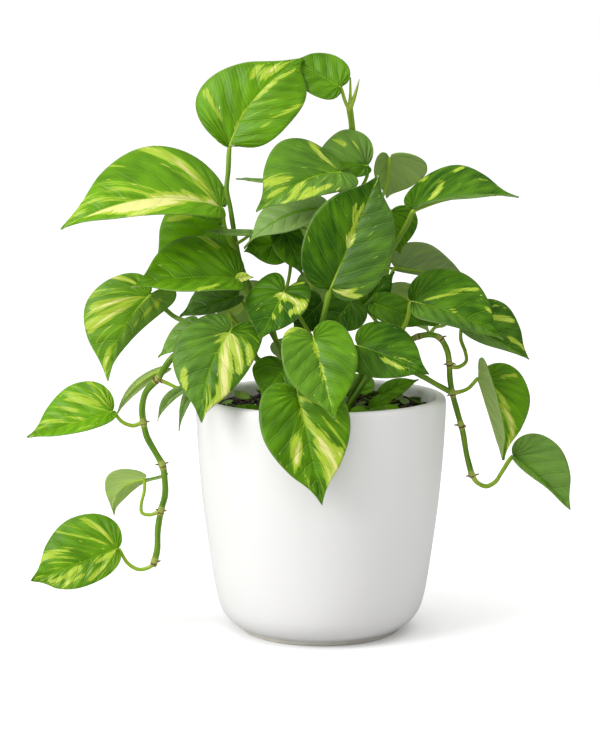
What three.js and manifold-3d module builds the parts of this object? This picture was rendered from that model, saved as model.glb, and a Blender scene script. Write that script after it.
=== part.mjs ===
// Potted pothos: a white glazed pot of soil, upright stems, two trailing vines, and heart-shaped leaves
// on petioles.
// Millimetres, +Z up, origin in the middle of the pot's flat underside, -Y towards the front.
import * as THREE from "three";
import { mergeVertices } from "three/addons/utils/BufferGeometryUtils.js";
import ManifoldModule from "manifold-3d";

// Pot
const POT_HEIGHT = 144;
const RIM_RADIUS = 76;
const RIM_ROUND = 3;
const WALL = 7;
const FOOT_RADIUS = 49;
const FLOOR = 9;
const POT_SEGMENTS = 40;

// Soil
const SOIL_LEVEL = 137;
const SOIL_GAP = 0.4;
const STEM_START = SOIL_LEVEL + 0.6;

// Plant
const LEAF_THICKNESS = 0.9;
const LEAF_COLUMNS = 4;
const LEAF_ROWS = 8;
const JOINT_GAP = 0.4;

// Leaf shape, for leaves that say nothing else
const LOBE = 0.16;
const WIDEST = 0.3;
const POINT = 0.2;
const MARGIN_START = 0.04; // how far round the margin the blade starts, beside the sinus
const MARGIN_END = 0.985; // and where it ends, just before the tip
const VEIN_SLANT = 0.8; // how far back along the midrib a side vein starts, for its run out to the margin
const VEIN_EASE = 0.03; // softens the crowding of the veins at the base
const VEIN_CREEP = 0.06; // and keeps each vein's start a little further on than the one before

// Stem sections
const THICK_STEM = 1.45;
const THICK_SIDES = 7;
const THIN_SIDES = 5;
const THICK_STEPS = 1.5; // along the stem, for each of its points
const THIN_STEPS = 1.8;

const GREEN = 0x4d8a22;
const STEM_GREEN = 0x7ea53c;

const root = new THREE.Group();
root.name = "potted_pothos";

const manifold = await ManifoldModule();
manifold.setup();

function addMesh(name, geometry, colour, roughness) {
  const material = new THREE.MeshStandardMaterial({ color: colour, roughness, metalness: 0 });
  material.name = name;
  const mesh = new THREE.Mesh(geometry, material);
  mesh.name = name;
  root.add(mesh);
}

const vec = (a) => new THREE.Vector3(a[0], a[1], a[2]);

// ---------- pot and soil ----------
// Outer profile from the foot up to the rim, over the lip and down the inside to the middle of the floor.
const potProfile = [
  [0, 0],
  [FOOT_RADIUS - 1, 0],
  [FOOT_RADIUS, 1],
  [53.5, 3.6],
  [58, 8.2],
  [61.2, 14],
  [63.6, 22],
  [65.8, 34],
  [68.4, 52],
  [71.4, 75],
  [73.4, 95],
  [75, 117],
  [RIM_RADIUS, POT_HEIGHT - 6],
  [RIM_RADIUS, POT_HEIGHT - RIM_ROUND],
  [RIM_RADIUS - 0.9, POT_HEIGHT - 0.9],
  [RIM_RADIUS - RIM_ROUND, POT_HEIGHT],
  [RIM_RADIUS - WALL + 2.4, POT_HEIGHT],
  [RIM_RADIUS - WALL + 0.7, POT_HEIGHT - 0.9],
  [RIM_RADIUS - WALL, POT_HEIGHT - 2.6],
  [67.6, 117],
  [64, 75],
  [61, 52],
  [57, 25],
  [50, 13],
  [42, FLOOR],
  [0, FLOOR],
].map(([r, z]) => new THREE.Vector2(r, z));

function turned(profile, segments) {
  return new THREE.LatheGeometry(profile, segments).rotateX(Math.PI / 2);
}

addMesh("pot", turned(potProfile, POT_SEGMENTS), 0xf2f1ee, 0.25);

const soilProfile = [
  [0, FLOOR + SOIL_GAP],
  [41.4, FLOOR + SOIL_GAP],
  [49.2, 13.6],
  [56.4, 25.4],
  [60.4, 52],
  [63.4, 75],
  [67.1, 117],
  [68.3, SOIL_LEVEL - 1.5],
  [66.8, SOIL_LEVEL],
  [0, SOIL_LEVEL],
].map(([r, z]) => new THREE.Vector2(r, z));
addMesh("soil", turned(soilProfile, POT_SEGMENTS), 0x2a1d14, 0.95);

// ---------- leaves ----------
// base: where the petiole joins; tip: the point; face: the way the upper side looks; half: width left and
// right of the midrib; arch: rise of the midrib between base and tip, and sweep: its sideways bow, both in
// leaf lengths; fold: lift of each half in radians; lobe: depth of the heart's lobes, wide: where the blade
// is widest, both in leaf lengths; point: width of the drawn-out tip.
const leaves = {
  leaf_top_large: {
    base: [-55, 0, 293], tip: [-11, 10, 346], face: [-0.15, -1, 0.3], half: [32, 27], sweep: -0.09,
    arch: 0.04, lobe: [0.03, -0.08], wide: [0.2, 0.52], point: [0.3, 0.45],
  },
  leaf_top_small: {
    base: [10, 4, 332], tip: [-18, 14, 343], face: [0.1, -1, 0.3], half: [12, 14], lobe: 0.1,
    wide: 0.35, point: 0.35,
  },
  leaf_left_big: {
    base: [-59, 0, 257], tip: [-153, -28, 246], face: [0, -0.6, 0.8], half: [31, 42], arch: 0.15,
    fold: [0.32, 0.18], lobe: [0, 0.1], wide: [0.3, 0.3], point: [0.2, 0.3],
  },
  leaf_left_behind: {
    base: [-60, 12, 245], tip: [-100, 4, 223], face: [-0.1, -0.8, 0.6], half: [24, 30], arch: 0.08,
    lobe: 0.12, point: 0.3,
  },
  leaf_left_dark: {
    base: [-48, -20, 216], tip: [-111, -42, 213], face: [0, -0.5, 0.86], half: [30, 32], fold: 0.3,
    arch: 0.06, lobe: [0.02, 0.12], wide: 0.34,
  },
  leaf_left_outer: {
    base: [-102, -12, 206], tip: [-127, -26, 156], face: [-0.2, -1, 0.2], half: [15, 28],
    fold: [-0.75, 0.1], sweep: 0.1, lobe: 0.2, wide: [0, 0.28], point: [0.05, 0.3],
  },
  leaf_left_front: {
    base: [-53, -52, 189], tip: [-69, -76, 139], face: [-0.15, -1, 0.2], half: [22, 25], sweep: 0.08,
    lobe: 0.2, wide: 0.27,
  },
  leaf_left_shade: {
    base: [-50, -8, 205], tip: [-84, -14, 193], face: [0, -0.6, 0.8], half: [8, 22], lobe: 0.12,
  },
  leaf_centre_heart: {
    base: [-22, -40, 211], tip: [-36, -66, 185], face: [-0.2, -0.75, 0.6], half: [18, 20],
    lobe: [0.3, 0.38], wide: 0.22,
  },
  leaf_front_heart: {
    base: [-5, -66, 187], tip: [7, -92, 143], face: [0.1, -1, 0.25], half: [22, 22], lobe: 0.2,
    wide: 0.3, fold: 0.2,
  },
  leaf_front_upright: {
    base: [5, -48, 213], tip: [33, -34, 278], face: [0.1, -1, 0.2], half: [27, 26], lobe: [0.06, 0.08],
    wide: 0.38, point: 0.38, fold: 0.2,
  },
  leaf_top_centre: {
    base: [12, -10, 279], tip: [-38, -38, 257], face: [-0.1, -0.7, 0.7], half: [20, 33], arch: 0.12,
    fold: [0.1, 0.1], lobe: 0.12, wide: 0.3, point: 0.22,
  },
  leaf_top_dark: {
    base: [28, 10, 282], tip: [-9, 10, 282], face: [0, -0.95, 0.3], half: [8, 22], arch: 0.05,
    lobe: [0.1, 0.14],
  },
  leaf_back_pale: {
    base: [42, 30, 286], tip: [41, 46, 260], face: [0, 0.8, 0.6], half: [9, 24], lobe: 0.15,
  },
  leaf_right_upper: {
    base: [55, 0, 256], tip: [117, -14, 264], face: [0, -0.55, 0.84], half: [29, 18], arch: 0.09,
    fold: [0.1, 0.55], lobe: [0.14, -0.05], wide: 0.3,
  },
  leaf_right_round: {
    base: [43, 20, 254], tip: [48, 17, 228], face: [0.1, -1, 0.2], half: [15, 14], lobe: 0.12,
  },
  leaf_right_grey: {
    base: [46, 30, 219], tip: [93, 22, 209], face: [0, 0.85, 0.5], half: [4, 20], arch: 0.05,
    lobe: 0.12,
  },
  leaf_right_mid: {
    base: [53, -31, 204], tip: [106, -46, 183], face: [0.1, -0.7, 0.7], half: [30, 20], arch: 0.08,
    fold: [0.1, 0.4], lobe: [0.14, -0.02],
  },
  leaf_right_outer: {
    base: [85, -8, 187], tip: [124, -20, 168], face: [0.1, -0.75, 0.66], half: [25, 10], arch: 0.05,
    fold: [0.1, 0.4], lobe: [0.14, 0.04],
  },
  leaf_trail_upper: {
    base: [95, -14, 156], tip: [109, -20, 107], face: [0.5, -0.85, 0], half: [31, 20], fold: [0, 1.4],
    lobe: [0.16, 0.3], wide: 0.34, point: 0.3,
  },
  leaf_trail_lower: {
    base: [116, -12, 108], tip: [150, -22, 77], face: [0.3, -0.8, 0.5], half: [25, 14],
    fold: [0.1, 0.85], arch: 0.05, lobe: [0.16, 0.05], point: 0.3,
  },
  leaf_right_front: {
    base: [21, -48, 180], tip: [62, -62, 165], face: [0.1, -0.8, 0.6], half: [22, 18], arch: 0.04,
    lobe: 0.14,
  },
  leaf_right_shade: {
    base: [26, -4, 199], tip: [44, -4, 219], face: [0.2, -1, 0.2], half: [8, 9], lobe: 0.12,
  },
  leaf_right_slant: {
    base: [32, -15, 201], tip: [66, -19, 188], face: [0.1, -0.7, 0.7], half: [12, 11], lobe: 0.12,
  },
  leaf_right_tip: { base: [71, -2, 191], tip: [53, 2, 196], face: [0.1, -0.7, 0.6], half: [8, 8] },
  leaf_over_rim: {
    base: [-14, -74, 156], tip: [0, -92, 94], face: [0.1, -1, 0.2], half: [26, 26], lobe: 0.16,
    wide: 0.28, arch: 0.04, fold: 0.12,
  },
  leaf_soil_dark: {
    base: [-21, -48, 167], tip: [-35, -62, 152], face: [-0.3, -0.9, 0.3], half: [16, 17],
  },
  leaf_centre_dark: {
    base: [-23, -4, 237], tip: [-46, -14, 232], face: [-0.2, -0.9, 0.4], half: [14, 15],
  },
  leaf_mid_wavy: {
    base: [3, -10, 257], tip: [-46, -22, 235], face: [0, -0.5, 0.86], half: [14, 18], arch: 0.14,
    lobe: 0.1,
  },
  leaf_mid_sliver: { base: [-42, -12, 243], tip: [-70, -14, 244], face: [0, -0.3, 0.95], half: [6, 5] },
  leaf_centre_fold: {
    base: [-22, -12, 246], tip: [-11, -16, 218], face: [0.5, -0.8, 0.1], half: [10, 12],
  },
  leaf_back_edge: { base: [-22, 14, 272], tip: [-51, 4, 274], face: [0, -0.05, 1], half: [12, 12] },
  leaf_gap_dark: { base: [0, -20, 202], tip: [-17, -30, 186], face: [0.1, -1, 0.2], half: [13, 13] },
  leaf_gap_small: { base: [18, -26, 204], tip: [3, -42, 187], face: [0.1, -1, 0.2], half: [14, 13] },
  leaf_vine_upper: {
    base: [-124, -27, 138], tip: [-174, -34, 123], face: [-0.1, -0.75, 0.65], half: [10, 25],
    fold: [0.25, 0.1], lobe: [0.06, 0.08], wide: [0.3, 0.32], point: 0.25,
  },
  leaf_vine_pale: {
    base: [-106, -22, 96], tip: [-125, -14, 72], face: [0, 1, 0.1], half: [12, 12], fold: [0, 0.9],
    sweep: -0.22, lobe: [0.14, 0.4], point: 0.3,
  },
  leaf_vine_end: {
    base: [-122, -24, 54], tip: [-173, -34, 36], face: [-0.1, -0.9, 0.45], half: [15, 28],
    lobe: [0.02, 0.14], wide: [0.45, 0.34], point: 0.4,
  },
  leaf_left_thin: {
    base: [-95, -22, 162], tip: [-124, -10, 131], face: [0.3, 0.8, 0.4], half: [3, 4], sweep: -0.1,
  },
  leaf_left_tip_a: {
    base: [-74, -28, 190], tip: [-96, -34, 171], face: [0.2, -0.5, 0.85], half: [7, 9],
  },
  leaf_left_tip_b: {
    base: [-81, -32, 152], tip: [-97, -34, 133], face: [0.4, -0.7, 0.3], half: [2.5, 4], sweep: 0.12,
  },
  leaf_left_tip_c: {
    base: [-68, -44, 163], tip: [-83, -52, 130], face: [0.4, -0.7, 0.3], half: [3, 4], sweep: 0.1,
  },
  leaf_rear_left: {
    base: [-34, 26, 206], tip: [-64, 48, 172], face: [-0.3, 0.8, 0.5], half: [19, 19],
    lobe: 0.14, arch: 0.06,
  },
  leaf_rear_mid: {
    base: [6, 34, 214], tip: [-2, 62, 180], face: [0, 0.9, 0.4], half: [19, 19],
    lobe: 0.14, arch: 0.06,
  },
  leaf_rear_right: {
    base: [40, 30, 204], tip: [68, 52, 176], face: [0.3, 0.8, 0.5], half: [18, 18],
    lobe: 0.14, arch: 0.06,
  },
  leaf_rear_high: {
    base: [-4, 34, 252], tip: [-24, 56, 226], face: [-0.15, 0.85, 0.5], half: [17, 17],
    lobe: 0.14, arch: 0.06,
  },
  leaf_rear_low: {
    base: [-12, 40, 172], tip: [-26, 69, 154], face: [-0.2, 0.7, 0.7], half: [15, 15],
    lobe: 0.14, arch: 0.06,
  },
};

// A setting may be one number, or one for the left half and one for the right half.
const pick = (value, s, standard) => (Array.isArray(value) ? value[s] : (value ?? standard));

const bezier = (a, b, c, d, t) => {
  const s = 1 - t;
  return s * s * s * a + 3 * s * s * t * b + 3 * s * t * t * c + t * t * t * d;
};

function leafFrame(leaf) {
  const base = vec(leaf.base);
  const along = vec(leaf.tip).sub(base);
  const length = along.length();
  along.normalize();
  const up = vec(leaf.face);
  up.addScaledVector(along, -up.dot(along)).normalize();
  const across = new THREE.Vector3().crossVectors(along, up);
  return { base, along, up, across, length };
}

// Margin of a half blade: x in half widths, y in leaf lengths, q from the sinus at the base (0) to the
// tip (1).
function margin(leaf, s, q) {
  const lobe = pick(leaf.lobe, s, LOBE);
  const wide = pick(leaf.wide, s, WIDEST);
  const point = pick(leaf.point, s, POINT);
  if (q < 0.5) {
    const t = q / 0.5;
    return [bezier(0, 0.2, 1, 1, t), bezier(0, -1.25 * lobe, -1.05 * lobe, wide, t)];
  }
  const t = (q - 0.5) / 0.5;
  return [bezier(1, 1, point, 0, t), bezier(wide, wide + 0.3, 0.84, 1, t)];
}

// A point of the blade: side -1 to 1 from the left margin over the midrib to the right margin.
function bladePoint(leaf, f, side, q, lift) {
  const w = Math.abs(side);
  const s = side < 0 ? 0 : 1;
  const half = leaf.half[s];
  const [mx, my] = margin(leaf, s, q);
  const start = my - (VEIN_SLANT * mx * half) / f.length;
  const vein = (start + Math.hypot(start, VEIN_EASE)) / 2 + VEIN_CREEP * q * (1 - q);
  const u = mx * half * w;
  const v = vein * (1 - w) + my * w;
  const bend = 4 * v * (v < 0 ? 1 + v : 1 - v);
  const fold = pick(leaf.fold, s, 0);
  const x = Math.sign(side) * u * Math.cos(fold);
  const z = u * Math.sin(fold);
  return f.base
    .clone()
    .addScaledVector(f.along, v * f.length)
    .addScaledVector(f.across, x + (leaf.sweep ?? 0) * f.length * bend)
    .addScaledVector(f.up, z + (leaf.arch ?? 0) * f.length * bend + lift);
}

function leafGeometry(leaf) {
  const f = leafFrame(leaf);
  const g = new THREE.BoxGeometry(2, 1, 1, LEAF_COLUMNS, LEAF_ROWS, 1);
  const at = g.getAttribute("position");
  for (let i = 0; i < at.count; i++) {
    const side = at.getX(i);
    const q = MARGIN_START + (MARGIN_END - MARGIN_START) * (at.getY(i) + 0.5);
    const p = bladePoint(leaf, f, side, q, at.getZ(i) * LEAF_THICKNESS);
    at.setXYZ(i, p.x, p.y, p.z);
  }
  // The under side (group 5) gets the same diagonals as the upper side, so the bent sheet keeps its
  // thickness everywhere.
  const index = g.index;
  const { start, count } = g.groups[5];
  for (let i = start; i < start + count; i += 6) {
    const [a, b, d, c] = [0, 1, 2, 4].map((k) => index.getX(i + k));
    [a, b, c, a, c, d].forEach((v, k) => index.setX(i + k, v));
  }
  return g;
}

for (const [name, leaf] of Object.entries(leaves)) addMesh(name, leafGeometry(leaf), GREEN, 0.4);

// ---------- stems and vines ----------
// Each node is a stem or vine joined with its petioles. A path that names a leaf ends just short of that
// leaf's base. A path that starts on the soil starts at its surface.
const stems = {
  vine_left: [
    {
      radius: 1.9,
      path: [
        [-22, -14, STEM_START], [-22, -14, 141], [-28, -14, 158], [-46, -14, 172], [-68, -22, 178],
        [-86.5, -32, 172], [-97, -30, 157.5], [-104, -28, 149.5], [-106.5, -26, 140], [-106, -24, 131],
        [-104, -24, 122], [-99, -24, 112.5], [-95, -24, 105], [-93.5, -24, 95.5], [-93.5, -24, 86.5],
        [-96, -24, 77], [-98, -24, 65], [-98.5, -24, 53], [-101, -24, 43],
      ],
    },
    {
      radius: 1.1,
      path: [
        [-106, -24, 131], [-112, -26, 129], [-118.5, -27, 131.5],
      ],
      leaf: "leaf_vine_upper",
    },
    {
      radius: 1.0,
      path: [
        [-96, -24, 77], [-102.5, -24, 74.5], [-107.5, -23, 75.5], [-108, -22, 80], [-106, -22, 89],
      ],
      leaf: "leaf_vine_pale",
    },
    {
      radius: 1.1,
      path: [
        [-100, -24, 45], [-104, -24, 42], [-110, -24, 41], [-116.5, -24, 45],
      ],
      leaf: "leaf_vine_end",
    },
    { radius: 1.0, path: [[-97, -30, 157.5], [-96.5, -26, 160]], leaf: "leaf_left_thin" },
    {
      radius: 1.0,
      path: [
        [-97, -30, 157.5], [-91, -30, 155], [-85, -31, 152.5],
      ],
      leaf: "leaf_left_tip_b",
    },
  ],
  vine_right: [
    {
      radius: 1.7,
      path: [
        [8, -12, STEM_START], [8, -12, 141], [18, -17, 160], [40, -14, 173], [49.5, -18, 178],
        [57.5, -19, 181.5], [64.5, -21, 183], [70.5, -20, 181], [75, -19, 173.5], [76.5, -18, 165.5],
        [77, -18, 156.5], [78.5, -18, 147.5], [81.5, -18, 136.5], [85, -18, 124], [87.5, -18, 110],
        [91, -18, 96.5],
      ],
    },
    {
      radius: 1.6,
      path: [
        [16, -36, STEM_START], [16, -36, 141], [21, -38, 150], [29.5, -38, 161.5], [40.5, -38, 164],
        [50, -37, 164], [59, -33, 160], [68, -25, 154], [78.5, -18, 147.5],
      ],
    },
    {
      radius: 1.1,
      path: [
        [76.5, -18, 165.5], [79, -17, 163], [83, -15, 163], [87, -13, 166], [86.5, -11, 171.5],
        [84, -9, 178.5], [84, -8, 183.5],
      ],
      leaf: "leaf_right_outer",
    },
    {
      radius: 1.1,
      path: [
        [78.5, -18, 147.5], [83, -17, 148], [88.5, -15, 150],
      ],
      leaf: "leaf_trail_upper",
    },
    {
      radius: 1.3,
      path: [
        [91, -18, 97.5], [93.5, -18, 93.5], [99.5, -17, 90.5], [105, -16, 93], [109, -14, 98.5],
      ],
      leaf: "leaf_trail_lower",
    },
    { radius: 1.0, path: [[64.5, -21, 183], [68, -12, 186], [75, 2, 186.5]], leaf: "leaf_right_tip" },
  ],
  stem_centre: [
    {
      radius: 2.0,
      path: [
        [6, 6, STEM_START], [6, 6, 141], [8.5, 4, 183], [13.5, 10, 225], [18, 18, 260.5], [19, 24, 281.5],
        [19, 20, 303], [17, 8, 317],
      ],
    },
    { radius: 1.0, path: [[17, 9, 315], [14.5, 6, 320]], leaf: "leaf_top_small" },
    { radius: 0.9, path: [[17, 8, 316], [17.5, 8, 323.5], [17.5, 8, 334.5]] },
    { radius: 0.9, path: [[17, 9, 315], [20.5, 9, 324.5], [22.5, 9, 333.5]] },
    { radius: 1.1, path: [[18.5, 18, 260.5], [24.5, 18, 268], [28, 15, 275.5]], leaf: "leaf_top_dark" },
    { radius: 1.1, path: [[16.5, 16, 251.5], [12, 2, 261.5], [12, -8, 273]], leaf: "leaf_top_centre" },
    { radius: 1.0, path: [[16, 13, 239.5], [32.5, 20, 253], [41, 29, 272]], leaf: "leaf_back_pale" },
    { radius: 1.0, path: [[14.5, 12, 237], [8.5, 1, 246], [4, -8, 254]], leaf: "leaf_mid_wavy" },
    { radius: 1.0, path: [[16, 14, 245.5], [-1.5, 16, 263]], leaf: "leaf_back_edge" },
    { radius: 1.0, path: [[13, 7, 219], [-4, 4, 240], [-17.5, -3, 248.5]], leaf: "leaf_centre_fold" },
    { radius: 1.0, path: [[8.5, 4, 183], [8, 18, 202]], leaf: "leaf_rear_mid" },
    { radius: 1.0, path: [[13.5, 10, 225], [4, 24, 243]], leaf: "leaf_rear_high" },
    { radius: 1.0, path: [[7, 5.5, 157], [-2, 22, 168]], leaf: "leaf_rear_low" },
  ],
  stem_left: [
    {
      radius: 1.5,
      path: [
        [-14, 2, STEM_START], [-14, 2, 141], [-26, 0, 174], [-35.5, -2, 192.5], [-48.5, -4, 225],
        [-52, -3, 242.5], [-54.5, -2, 258], [-56.5, -1, 267.5], [-55.5, 0, 279.5],
      ],
      leaf: "leaf_top_large",
    },
    { radius: 1.2, path: [[-50, -4, 228.5], [-55, -3, 238], [-58, -2, 247.5]], leaf: "leaf_left_big" },
    { radius: 1.1, path: [[-48.5, -4, 225], [-54, 6, 234]], leaf: "leaf_left_behind" },
    { radius: 1.2, path: [[-38.5, -2, 199.5], [-43.5, -12, 207]], leaf: "leaf_left_dark" },
    {
      radius: 1.1,
      path: [
        [-30.5, -1, 183.5], [-21, 0, 207.5], [-18.5, 0, 227],
      ],
      leaf: "leaf_centre_dark",
    },
    { radius: 0.9, path: [[-51, -3, 235.5], [-46.5, -9, 238.5]], leaf: "leaf_mid_sliver" },
    { radius: 1.0, path: [[-26, 0, 174], [-31, 12, 192]], leaf: "leaf_rear_left" },
  ],
  stem_front: [
    {
      radius: 1.7,
      path: [
        [3, -30, STEM_START], [3, -30, 141], [-2.5, -38, 164], [-1, -40, 185], [2.5, -45, 202.5],
      ],
      leaf: "leaf_front_upright",
    },
    { radius: 1.3, path: [[-2.5, -38, 160.5], [-3.5, -54, 177]], leaf: "leaf_front_heart" },
    {
      radius: 1.3,
      path: [
        [-2.5, -36, 155], [-7.5, -52, 166], [-12, -68, 161.5],
      ],
      leaf: "leaf_over_rim",
    },
    { radius: 1.1, path: [[-2.5, -37, 157], [-11.5, -43, 167]], leaf: "leaf_soil_dark" },
    {
      radius: 1.2,
      path: [
        [-1.5, -39, 176], [-11.5, -34, 193], [-18.5, -36, 205],
      ],
      leaf: "leaf_centre_heart",
    },
    { radius: 1.0, path: [[-1, -40, 185], [6, -18, 188.5], [2.5, -11, 197]], leaf: "leaf_gap_dark" },
    { radius: 1.0, path: [[-1, -39, 182], [12.5, -22, 184.5], [19, -19, 198]], leaf: "leaf_gap_small" },
    {
      radius: 1.2,
      path: [
        [-2, -38, 163], [9.5, -42, 169.5], [17.5, -47, 177],
      ],
      leaf: "leaf_right_front",
    },
  ],
  stem_left_low: [
    {
      radius: 1.5,
      path: [
        [-30, -24, STEM_START], [-30, -24, 141], [-40, -20, 172.5], [-48.5, -20, 188], [-61.5, -12, 189],
        [-79, -4, 188.5], [-88, 1, 191], [-95.5, 6, 196.5], [-100, 0, 202],
      ],
      leaf: "leaf_left_outer",
    },
    {
      radius: 1.2,
      path: [
        [-47, -20, 186], [-54.5, -32, 197], [-53.5, -44, 194.5],
      ],
      leaf: "leaf_left_front",
    },
    { radius: 1.1, path: [[-42.5, -20, 177.5], [-45, -6, 196]], leaf: "leaf_left_shade" },
    { radius: 1.0, path: [[-44.5, -20, 182], [-60, -24, 183.5]], leaf: "leaf_left_tip_a" },
    {
      radius: 1.0,
      path: [
        [-40.5, -20, 173.5], [-55, -32, 174], [-64, -40, 166],
      ],
      leaf: "leaf_left_tip_c",
    },
  ],
  stem_right: [
    {
      radius: 1.6,
      path: [
        [18, 4, STEM_START], [18, 4, 141], [38, 2, 183], [38, 4, 201], [39.5, 6, 216], [43, 6, 231],
        [46.5, 5, 237.5], [51.5, 3, 246.5],
      ],
      leaf: "leaf_right_upper",
    },
    { radius: 1.1, path: [[38, 4, 204], [42.5, 22, 212.5]], leaf: "leaf_right_grey" },
    { radius: 1.1, path: [[40, 5, 219], [38.5, 19, 226], [39, 25, 240.5]], leaf: "leaf_right_round" },
    { radius: 1.0, path: [[38, 2, 183], [32, 5, 190], [27, 1, 196.5]], leaf: "leaf_right_shade" },
    {
      radius: 1.4,
      path: [
        [36, 2.5, 179], [42, -12, 186], [47.5, -28, 186.5], [51, -31, 195],
      ],
      leaf: "leaf_right_mid",
    },
    {
      radius: 1.1,
      path: [
        [38, 2, 179.5], [34.5, -7, 185.5], [31.5, -9, 194],
      ],
      leaf: "leaf_right_slant",
    },
    { radius: 1.0, path: [[38, 2, 183], [40, 15, 196]], leaf: "leaf_rear_right" },
  ],
};

function tube(path, radius, sides, steps) {
  const section = new THREE.Shape();
  for (let i = 0; i <= sides; i++) {
    const a = (2 * Math.PI * (i % sides)) / sides;
    if (i === 0) section.moveTo(radius, 0);
    else section.lineTo(radius * Math.cos(a), radius * Math.sin(a));
  }
  return new THREE.ExtrudeGeometry(section, {
    steps,
    bevelEnabled: false,
    extrudePath: new THREE.CatmullRomCurve3(path, false, "centripetal"),
  });
}

function toSolid(geometry) {
  const loose = geometry.index ? geometry.toNonIndexed() : geometry;
  const bare = new THREE.BufferGeometry().setAttribute("position", loose.getAttribute("position"));
  const merged = mergeVertices(bare, 1e-3);
  return new manifold.Manifold(
    new manifold.Mesh({
      numProp: 3,
      vertProperties: Float32Array.from(merged.getAttribute("position").array),
      triVerts: Uint32Array.from(merged.index.array),
    }),
  );
}

function toGeometry(solid) {
  const mesh = solid.getMesh();
  return new THREE.BufferGeometry()
    .setAttribute("position", new THREE.BufferAttribute(mesh.vertProperties, 3))
    .setIndex(new THREE.BufferAttribute(mesh.triVerts, 1));
}

for (const [name, parts] of Object.entries(stems)) {
  let whole = null;
  for (const { radius, path, leaf } of parts) {
    const points = path.map(vec);
    if (leaf) {
      const { base, along, up } = leafFrame(leaves[leaf]);
      const clearance = radius + LEAF_THICKNESS / 2 + JOINT_GAP;
      points.push(base.addScaledVector(up, -clearance).addScaledVector(along, -JOINT_GAP));
    }
    const thick = radius > THICK_STEM;
    const steps = Math.round((thick ? THICK_STEPS : THIN_STEPS) * points.length);
    const solid = toSolid(tube(points, radius, thick ? THICK_SIDES : THIN_SIDES, steps));
    whole = whole ? whole.add(solid) : solid;
  }
  addMesh(name, toGeometry(whole), STEM_GREEN, 0.5);
}

export default root;
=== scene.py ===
import math
import random

import bmesh
import bpy
from mathutils import Matrix, Vector, noise


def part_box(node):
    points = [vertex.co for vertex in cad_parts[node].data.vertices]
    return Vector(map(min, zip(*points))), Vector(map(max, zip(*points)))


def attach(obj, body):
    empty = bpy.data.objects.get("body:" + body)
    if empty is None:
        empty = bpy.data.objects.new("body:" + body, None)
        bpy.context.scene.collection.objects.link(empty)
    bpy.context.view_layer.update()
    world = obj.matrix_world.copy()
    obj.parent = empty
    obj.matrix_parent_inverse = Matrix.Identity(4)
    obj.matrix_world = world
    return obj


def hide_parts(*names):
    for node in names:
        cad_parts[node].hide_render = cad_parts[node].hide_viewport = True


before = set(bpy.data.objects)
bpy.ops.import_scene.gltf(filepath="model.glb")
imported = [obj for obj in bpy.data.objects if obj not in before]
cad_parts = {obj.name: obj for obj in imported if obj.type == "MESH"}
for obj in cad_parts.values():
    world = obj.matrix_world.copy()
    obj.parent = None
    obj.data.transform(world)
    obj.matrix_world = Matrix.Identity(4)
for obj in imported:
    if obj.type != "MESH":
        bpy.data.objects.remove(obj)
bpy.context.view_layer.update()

MM = 0.001
SEED = 7

# ---------- sizes ----------
POT_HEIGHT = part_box("pot")[1].z / MM
FOOT_RADIUS = 49
FOOT_HEIGHT = 2.8
FLOOR_THICKNESS = 9
POT_STEPS = 144
SOIL_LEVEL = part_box("soil")[1].z / MM
SOIL_RADIUS = 68.6
SCATTER_RADIUS = 67
STEM_START = SOIL_LEVEL - 1.5

# Blades: mesh, thickness, and the outline's and surface's settings that a blade may change
LEAF_COLUMNS = 32
LEAF_ROWS = 64
COLUMN_CROWDING = 1.3
BLADE_THICKNESS = 0.55
MERGE_DISTANCE = 0.02
TUBE_MERGE_DISTANCE = 0.002
SPIN_MERGE_DISTANCE = 0.001
LOBE, WIDEST, POINT = 0.16, 0.3, 0.2
MARGIN_START = 0.03
TIP_PINCH = 1.9
VEIN_GAP = 5.2
VEIN_SLANT, VEIN_EASE, VEIN_CREEP = 0.8, 0.03, 0.06
GROOVE_DEPTH, GROOVE_WIDTH = 0.55, 1.1
QUILT_HEIGHT = 0.1
DOME = 0.05
RIPPLE = 0.9
# Tone of the small soil-level blades: partly their own green, partly painted shade
YOUNG_TONE_AND_SHADE = 0.6
SEED_STEP = 3.7

# Streaks: how wide a blade counts, how far a stroke spreads, and how the streaks slant to the veins
STREAK_ACROSS = 0.3
STREAK_SPREAD = 1.8
STREAK_STRENGTH = 0.62
STREAK_SLANT = 0.26

STEM_STEP = 1.4
STEM_SIDES = 14
STUB_SIDES = 8
JOINT_SWELL, JOINT_REACH = 0.22, 2.2

# ---------- colours and light ----------
DEEP_GREEN = (0.020, 0.100, 0.000, 1)
FRESH_GREEN = (0.225, 0.540, 0.001, 1)
# Grey-green on chosen half blades: partly the leaves' own waxy bloom, partly painted sheen where a half faces
# the light
BLOOM_AND_SHEEN_GREEN = (0.290, 0.460, 0.130, 1)
VEIN_GREEN = (0.300, 0.560, 0.015, 1)
MARGIN_GREEN = (0.330, 0.430, 0.130, 1)
LIME = (0.520, 0.690, 0.050, 1)
CREAM = (0.890, 0.850, 0.330, 1)
UNDER_GREY = (0.360, 0.500, 0.220, 1)
UNDER_GREEN = (0.660, 0.860, 0.200, 1)
UNDER_VEIN = (0.600, 0.840, 0.320, 1)
STEM_DEEP = (0.062, 0.175, 0.006, 1)
STEM_FRESH = (0.360, 0.540, 0.030, 1)
STEM_YELLOW = (0.480, 0.520, 0.120, 1)
CORK = (0.170, 0.100, 0.034, 1)
GLAZE_WHITE = (0.880, 0.874, 0.862, 1)
GLAZE_WARM = (0.862, 0.852, 0.836, 1)
GLAZE_THIN = (0.800, 0.785, 0.740, 1)
BISQUE = (0.900, 0.870, 0.780, 1)
BISQUE_DARK = (0.820, 0.780, 0.680, 1)
CLAY_RINGS = 2800
FLOOR_DIM = (0.55, 0.55, 0.55, 1)
FLOOR_WHITE = (0.94, 0.94, 0.94, 1)
FLOOR_GLOW = 0.07
SKY_IN_GLOSS = 0.16
SKY_FILL, SKY_TOP = 0.02, 1.72


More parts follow.
